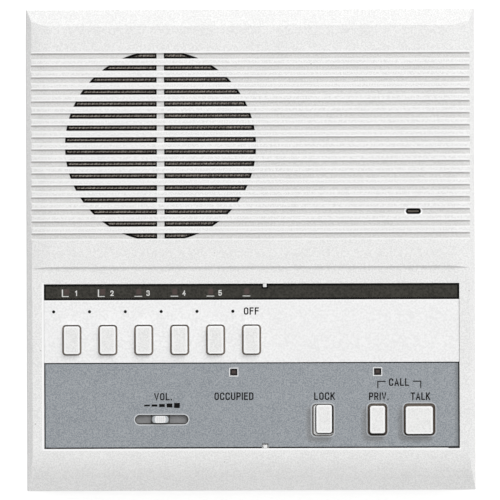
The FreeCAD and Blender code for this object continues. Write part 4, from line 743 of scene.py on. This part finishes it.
def flatPiece(name, outlineSets, level, inkName, thickness=0.012):
    # Thin prisms lying on the face; each outline is a list of (x, v) corners in millimetres.
    mesh = bmesh.new()
    for outline in outlineSets:
        low = [mesh.verts.new(onFace(x, v, level)) for x, v in outline]
        high = [mesh.verts.new(onFace(x, v, level + thickness)) for x, v in outline]
        mesh.faces.new(high)
        mesh.faces.new(low[::-1])
        count = len(outline)
        for k in range(count):
            mesh.faces.new((low[k], low[(k + 1) % count], high[(k + 1) % count], high[k]))
    data = bpy.data.meshes.new(name)
    bmesh.ops.recalc_face_normals(mesh, faces=mesh.faces)
    mesh.to_mesh(data)
    mesh.free()
    return settle(name, data, inkName)


def settle(name, data, finishName, body="case"):
    data.materials.append(finishes[finishName])
    piece = placed(name, data)
    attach(piece, body)
    return piece


def rectangle(x, v, width, height):
    corners = ((-1, -1), (1, -1), (1, 1), (-1, 1))
    return [(x + right * width / 2, v + up * height / 2) for right, up in corners]


def disc(x, v, radius, sides=24):
    turns = [2 * math.pi * k / sides for k in range(sides)]
    return [(x + radius * math.cos(t), v + radius * math.sin(t)) for t in turns]


def slotPath(x, v, length, width, sides=10):  # round-ended slot, anticlockwise
    reach = (length - width) / 2
    points = []
    for side in (1, -1):
        for k in range(sides + 1):
            turn = math.pi * (k / sides - 0.5)
            points.append(Vector((x + side * (reach + width / 2 * math.cos(turn)),
                                  v + side * width / 2 * math.sin(turn))))
    return points


# Capitals and figures drawn as strokes: x runs over the letter's width, y from foot (0) to head (1);
# a third number rounds that corner, and a path that ends with "close" joins up.
letterPaths = {
    "A": [[(0, 0), (0.27, 1), (0.54, 0)], [(0.09, 0.3), (0.45, 0.3)]],
    "C": [[(0.5, 0.76), (0.5, 1, 0.24), (0, 1, 0.24), (0, 0, 0.24), (0.5, 0, 0.24), (0.5, 0.24)]],
    "D": [[(0, 0), (0, 1), (0.5, 1, 0.28), (0.5, 0, 0.28), "close"]],
    "E": [[(0.42, 1), (0, 1), (0, 0), (0.42, 0)], [(0, 0.53), (0.37, 0.53)]],
    "F": [[(0.42, 1), (0, 1), (0, 0)], [(0, 0.53), (0.36, 0.53)]],
    "I": [[(0, 0), (0, 1)]],
    "K": [[(0, 0), (0, 1)], [(0.48, 1), (0, 0.4)], [(0.17, 0.61), (0.5, 0)]],
    "L": [[(0, 1), (0, 0), (0.42, 0)]],
    "O": [[(0, 0, 0.25), (0, 1, 0.25), (0.5, 1, 0.25), (0.5, 0, 0.25), "close"]],
    "P": [[(0, 0), (0, 1), (0.48, 1, 0.2), (0.48, 0.44, 0.2), (0, 0.44)]],
    "R": [[(0, 0), (0, 1), (0.48, 1, 0.2), (0.48, 0.46, 0.2), (0, 0.46)], [(0.25, 0.46), (0.5, 0)]],
    "T": [[(0, 1), (0.52, 1)], [(0.26, 1), (0.26, 0)]],
    "U": [[(0, 1), (0, 0, 0.25), (0.5, 0, 0.25), (0.5, 1)]],
    "V": [[(0, 1), (0.27, 0), (0.54, 1)]],
    ".": [[(0, 0), (0, 0.03)]],
    "1": [[(0, 0.8), (0.24, 1), (0.24, 0)]],
    "2": [[(0, 0.76), (0, 1, 0.24), (0.5, 1, 0.24), (0.5, 0.58, 0.2), (0, 0), (0.52, 0)]],
    "3": [[(0, 0.8), (0, 1, 0.22), (0.48, 1, 0.22), (0.48, 0.54, 0.2), (0.2, 0.54)],
          [(0.2, 0.54), (0.5, 0.54, 0.22), (0.5, 0, 0.24), (0, 0, 0.24), (0, 0.2)]],
    "4": [[(0.38, 0), (0.38, 1), (0, 0.3), (0.54, 0.3)]],
    "5": [[(0.46, 1), (0.02, 1), (0, 0.55), (0.5, 0.62, 0.22), (0.5, 0, 0.24), (0, 0, 0.24), (0, 0.2)]],
}
letterLook = {"gap": 0.36, "weight": 0.55, "mitre": 0.5, "sameSpot": 0.001}


def roundPath(path, steps=4):
    closed = path[-1] == "close"
    corners = path[:-1] if closed else path
    points = []
    for k, corner in enumerate(corners):
        here = Vector(corner[:2])
        if len(corner) < 3:
            points.append(here)
            continue
        before = Vector(corners[k - 1][:2])
        after = Vector(corners[(k + 1) % len(corners)][:2])
        start = here + (before - here).normalized() * min(corner[2], (before - here).length / 2)
        end = here + (after - here).normalized() * min(corner[2], (after - here).length / 2)
        for step in range(steps + 1):
            t = step / steps
            points.append(start * (1 - t) ** 2 + here * 2 * t * (1 - t) + end * t * t)
    return [p for k, p in enumerate(points) if (p - points[k - 1]).length > letterLook["sameSpot"]], closed


def ribbon(points, closed, weight):
    # Quads along a path, mitred at its corners; open ends run on by half the weight.
    count = len(points)
    sides = []
    for k, here in enumerate(points):
        before = points[k - 1] if k or closed else None
        after = points[(k + 1) % count] if k < count - 1 or closed else None
        inward = (here - before).normalized() if before is not None else None
        outward = (after - here).normalized() if after is not None else None
        if inward is None:
            here, inward = here - outward * weight / 2, outward
        if outward is None:
            here, outward = here + inward * weight / 2, inward
        across = Vector((-inward.y - outward.y, inward.x + outward.x)).normalized()
        reach = weight / 2 / max(letterLook["mitre"], across.dot(Vector((-inward.y, inward.x))))
        sides.append((here + across * reach, here - across * reach))
    quads = []
    for k in range(count if closed else count - 1):
        (a, b), (c, d) = sides[k], sides[(k + 1) % count]
        quads.append([tuple(a), tuple(b), tuple(d), tuple(c)])
    return quads


def lettering(name, inkName, slotName, text, left, foot, width, height, weight=letterLook["weight"]):
    spans = [max(spot[0] for path in letterPaths[sign] for spot in path if spot != "close") for sign in text]
    stretchX = (width - weight) / (sum(spans) + letterLook["gap"] * (len(text) - 1))
    stretchY = height - weight
    quads = []
    cursor = 0
    for sign, span in zip(text, spans):
        for path in letterPaths[sign]:
            points, closed = roundPath(path)
            spots = [Vector((left + weight / 2 + (cursor + p.x) * stretchX,
                             foot + weight / 2 + p.y * stretchY)) for p in points]
            quads += ribbon(spots, closed, weight)
        cursor += span + letterLook["gap"]
    return flatPiece(name, quads, plateLevel, inkName)


marks = {
    "lift": 0.008, "stationFirst": -78.09, "stationPitch": 15.65, "dotFirst": -85.73, "dotPitch": 15.57,
    "dotRow": 77.97, "dotRadius": 0.68, "lampOffset": -1.93, "lampRow": 86.6, "lampSize": (2.1, 2.4),
    "numberOffset": 2.12, "numberFoot": 84.8, "numberHeight": 2.4, "numberWidth": 1.45, "numberWeight": 0.42,
    "oneShare": 0.6,
}
plateLevel = face["plateTop"] + marks["lift"]
stationCentres = [marks["stationFirst"] + k * marks["stationPitch"] for k in range(keyPlaces["stationCount"])]

dots = [disc(marks["dotFirst"] + k * marks["dotPitch"], marks["dotRow"], marks["dotRadius"])
        for k in range(keyPlaces["stationCount"])]
flatPiece("cardDots", dots, plateLevel, "inkBlack")
offWord = {"text": "OFF", "left": -3.1, "foot": 76.5, "width": 6.5, "height": 3.15}
lettering("offWord", "inkDark", "card_plastic", **offWord)
squares = [rectangle(x + marks["lampOffset"], marks["lampRow"], *marks["lampSize"]) for x in stationCentres]
flatPiece("lampSquares", squares, plateLevel, "lampRed")
for k, x in enumerate(stationCentres[:-1]):
    width = marks["numberWidth"] * (marks["oneShare"] if k == 0 else 1)
    left = x + marks["numberOffset"] - width / 2
    lettering("lampNumber%d" % (k + 1), "inkWhite", "smoked_window", str(k + 1), left, marks["numberFoot"],
              width, marks["numberHeight"], marks["numberWeight"])

cornerMark = {
    "left": -4.05, "foot": 84.43, "height": 3.2, "stroke": 0.5, "reach": 2.5, "line": 0.34, "count": 2,
    "underlineLeft": -3.75, "underline": 3.3,
}


def bar(left, width, height):
    return rectangle(left + width / 2, cornerMark["foot"] + height / 2, width, height)


strokes = []
for k, x in enumerate(stationCentres):
    if k < cornerMark["count"]:
        left = x + cornerMark["left"]
        strokes.append(bar(left, cornerMark["stroke"], cornerMark["height"]))
        strokes.append(bar(left + cornerMark["stroke"], cornerMark["reach"], cornerMark["line"]))
    else:
        strokes.append(bar(x + cornerMark["underlineLeft"], cornerMark["underline"], cornerMark["line"]))
flatPiece("lampMarks", strokes, plateLevel, "inkWhite")

controlWords = {
    "volumeWord": {"text": "VOL.", "left": -42.2, "foot": 39.36, "width": 7.75, "height": 3.2},
    "occupiedWord": {"text": "OCCUPIED", "left": -16, "foot": 39.4, "width": 16.95, "height": 3.3},
    "lockWord": {"text": "LOCK", "left": 27.3, "foot": 39.3, "width": 9.05, "height": 3.3},
    "privateWord": {"text": "PRIV.", "left": 51.15, "foot": 39.2, "width": 8.5, "height": 3.3},
    "talkWord": {"text": "TALK", "left": 69.25, "foot": 39.15, "width": 8.45, "height": 3.3},
    "callWord": {"text": "CALL", "left": 59.8, "foot": 45.3, "width": 8.7, "height": 3.3},
}
for name, look in controlWords.items():
    lettering(name, "inkDark", "control_paint", **look)

rule = {"first": -45.3, "pitch": 3.25, "row": 37.14, "width": 2.5, "heights": [0.7, 0.95, 1.3, 1.75, 2.2]}
bars = [rectangle(rule["first"] + k * rule["pitch"], rule["row"], rule["width"], height)
        for k, height in enumerate(rule["heights"])]
flatPiece("volumeBars", bars, plateLevel, "inkBlack")

bracket = {"outer": (55, 73.65), "inner": (58.15, 70.4), "level": 47.3, "foot": 44.6, "line": 0.46}
strokes = []
for outer, inner in zip(bracket["outer"], bracket["inner"]):
    elbow = ((outer, bracket["foot"]), (outer, bracket["level"]), (inner, bracket["level"]))
    strokes += ribbon([Vector(spot) for spot in elbow], False, bracket["line"])
flatPiece("callBracket", strokes, plateLevel, "inkDark")
print("marks printed")


# Black strips in the joints round the plates paint the shade there, and a black lip inside the volume slot
# paints the shade along its edge.
def span(x0, x1, v0, v1):
    trim = panel["clear"]
    return rectangle((x0 + x1) / 2, (v0 + v1) / 2, x1 - x0 - 2 * trim, v1 - v0 - 2 * trim)


gap = panel["gap"]
left, right = panel["left"] + gap, panel["right"] - gap
shadeStrips = []
for v0, v1 in ((panel["front"], panel["cardFront"] + gap / 2), (panel["lampFront"] - gap / 2, panel["rear"])):
    shadeStrips += [span(panel["left"], left, v0, v1), span(right, panel["right"], v0, v1)]
for v in (panel["cardFront"], panel["lampFront"]):
    shadeStrips.append(span(left, right, v - gap / 2, v + gap / 2))
notchLeft, notchRight = (panel["tabX"] + side * panel["tabNotch"] / 2 for side in (-1, 1))
for v, inward in ((panel["front"], 1), (panel["rear"], -1)):
    rows = sorted((v, v + inward * gap))
    shadeStrips += [span(left, notchLeft, *rows), span(notchRight, right, *rows)]
shadeStrips.append(span(notchLeft, notchRight, panel["rear"] - panel["tabReach"], panel["rear"]))
flatPiece("jointShade", shadeStrips, face["floor"], "tapeBlack", panel["shadeHeight"])

lip = {"clear": 0.01, "thick": 0.08, "low": -1.9, "height": 0.95}
x0, x1, v0, v1 = slotPlaces["volume"]
trim = 2 * lip["clear"] + lip["thick"]
lipPath = slotPath((x0 + x1) / 2, (v0 + v1) / 2, x1 - x0 - trim, v1 - v0 - trim)
flatPiece("slotShadeLip", ribbon(lipPath, True, lip["thick"]), lip["low"], "tapeBlack", lip["height"])


def roundedLoop(x0, x1, v0, v1, radius, steps=5):
    points = []
    for k, (x, v) in enumerate(((x1, v1), (x0, v1), (x0, v0), (x1, v0))):
        middle = Vector((x + (radius if k in (1, 2) else -radius), v + (radius if k > 1 else -radius)))
        for step in range(steps + 1):
            turn = math.pi / 2 * (k + step / steps)
            points.append(middle + radius * Vector((math.cos(turn), math.sin(turn))))
    return points


# A dust seal of brown felt fills the gap round each key, below the plates.
seal = {"capClear": 0.08, "holeClear": 0.02, "low": -1.95, "height": 0.7}


def grown(corners, reach):
    x0, x1, v0, v1 = corners
    return x0 - reach, x1 + reach, v0 - reach, v1 + reach


def sealRing(cap, hole):
    inner = roundedLoop(*grown(cap, seal["capClear"]), keyPlaces["capCorner"])
    outer = roundedLoop(*grown(hole, -seal["holeClear"]), keyPlaces["holeCorner"])
    count = len(inner)
    return [[tuple(loop[k % count]) for loop, k in ((outer, j), (outer, j + 1), (inner, j + 1), (inner, j))]
            for j in range(count)]


keyRings = []
holeHalves = [side / 2 for side in keyPlaces["stationHole"]]
for k in range(keyPlaces["stationCount"]):
    middle = keyPlaces["stationFirst"] + k * keyPlaces["stationPitch"], keyPlaces["stationRow"]
    cap = centred(*middle, keyPlaces["stationWidth"] / 2, keyPlaces["stationLength"] / 2)
    keyRings += sealRing(cap, centred(*middle, *holeHalves))
for cap, hole in list(zip(keyPlaces["lower"], keyPlaces["lowerHoles"]))[1:]:
    keyRings += sealRing(cap, hole)
flatPiece("keySeals", keyRings, seal["low"], "sealBrown", seal["height"])
print("joints lined")


floorLook = {"size": 4, "colour": (0.86, 0.86, 0.86), "roughness": 0.9, "glow": 0.64}


def buildFloor():
    mesh = bmesh.new()
    bmesh.ops.create_grid(mesh, x_segments=2, y_segments=2, size=floorLook["size"] / 2)
    data = bpy.data.meshes.new("studioFloor")
    mesh.to_mesh(data)
    mesh.free()
    floor = placed("studioFloor", data)
    finish = Finish("floorWhite", Roughness=floorLook["roughness"], Base_Color=(*floorLook["colour"], 1))
    seen = finish.node("ShaderNodeLightPath", out="Is Camera Ray")
    for ray in ("Is Glossy Ray", "Is Transmission Ray"):
        seen = seen.most(finish.node("ShaderNodeLightPath", out=ray))
    glow = finish.node("ShaderNodeEmission", {}, {"Color": (1, 1, 1, 1), "Strength": floorLook["glow"]})
    dark = finish.node("ShaderNodeEmission", {}, {"Color": (0, 0, 0, 1), "Strength": 0})
    glow = finish.node("ShaderNodeMixShader", {}, {0: seen, 1: dark, 2: glow})
    both = finish.node("ShaderNodeAddShader", {}, {0: Wire(finish, finish.shader.outputs[0]), 1: glow})
    finish.tree.links.new(both.socket, finish.output.inputs[0])
    data.materials.append(finish.material)


lights = {
    "keyLight": {"place": (0.8, 1.5, 2.5), "size": (2.6, 2.6), "power": 64.2},
    "leftFill": {"place": (-1.6, 0.1, 1.2), "size": (1.2, 1.6), "power": 3.5},
    "rightFill": {"place": (1.6, 0.1, 1.2), "size": (1.2, 1.6), "power": 3},
}
lightAim = (0, 0, 0.04)


def areaLight(name, look):
    data = bpy.data.lights.new(name, "AREA")
    data.shape = "RECTANGLE"
    data.size, data.size_y = look["size"]
    data.energy = look["power"]
    lamp = placed(name, data)
    lamp.location = look["place"]
    lamp.rotation_euler = (Vector(lightAim) - lamp.location).to_track_quat("-Z", "Y").to_euler()


worldLook = {"colour": (1, 1, 1), "strength": 0.44}


def buildWorld():
    world = bpy.data.worlds.new("studioWorld")
    world.use_nodes = True
    background = world.node_tree.nodes["Background"]
    background.inputs["Color"].default_value = (*worldLook["colour"], 1)
    background.inputs["Strength"].default_value = worldLook["strength"]
    bpy.context.scene.world = world


cameraLook = {
    "aimX": -0.33, "aimV": 104.56, "distance": 6, "frameWidth": 217.2, "sensor": 36, "roll": -0.2,
    "farthest": 20,
}


def buildCamera():
    look = cameraLook
    data = bpy.data.cameras.new("camera")
    data.sensor_width = look["sensor"]
    data.lens = look["sensor"] * look["distance"] / (look["frameWidth"] * mm)
    data.clip_end = look["farthest"]
    camera = placed("camera", data)
    camera.location = onFace(look["aimX"], look["aimV"], look["distance"] / mm)
    turn = Matrix.Rotation(face["wedge"], 4, "X") @ Matrix.Rotation(math.radians(look["roll"]), 4, "Z")
    camera.rotation_euler = turn.to_euler()
    bpy.context.scene.camera = camera


buildFloor()
for name, look in lights.items():
    areaLight(name, look)
buildWorld()
buildCamera()
bpy.context.scene.view_settings.view_transform = "Standard"
print("stage set")
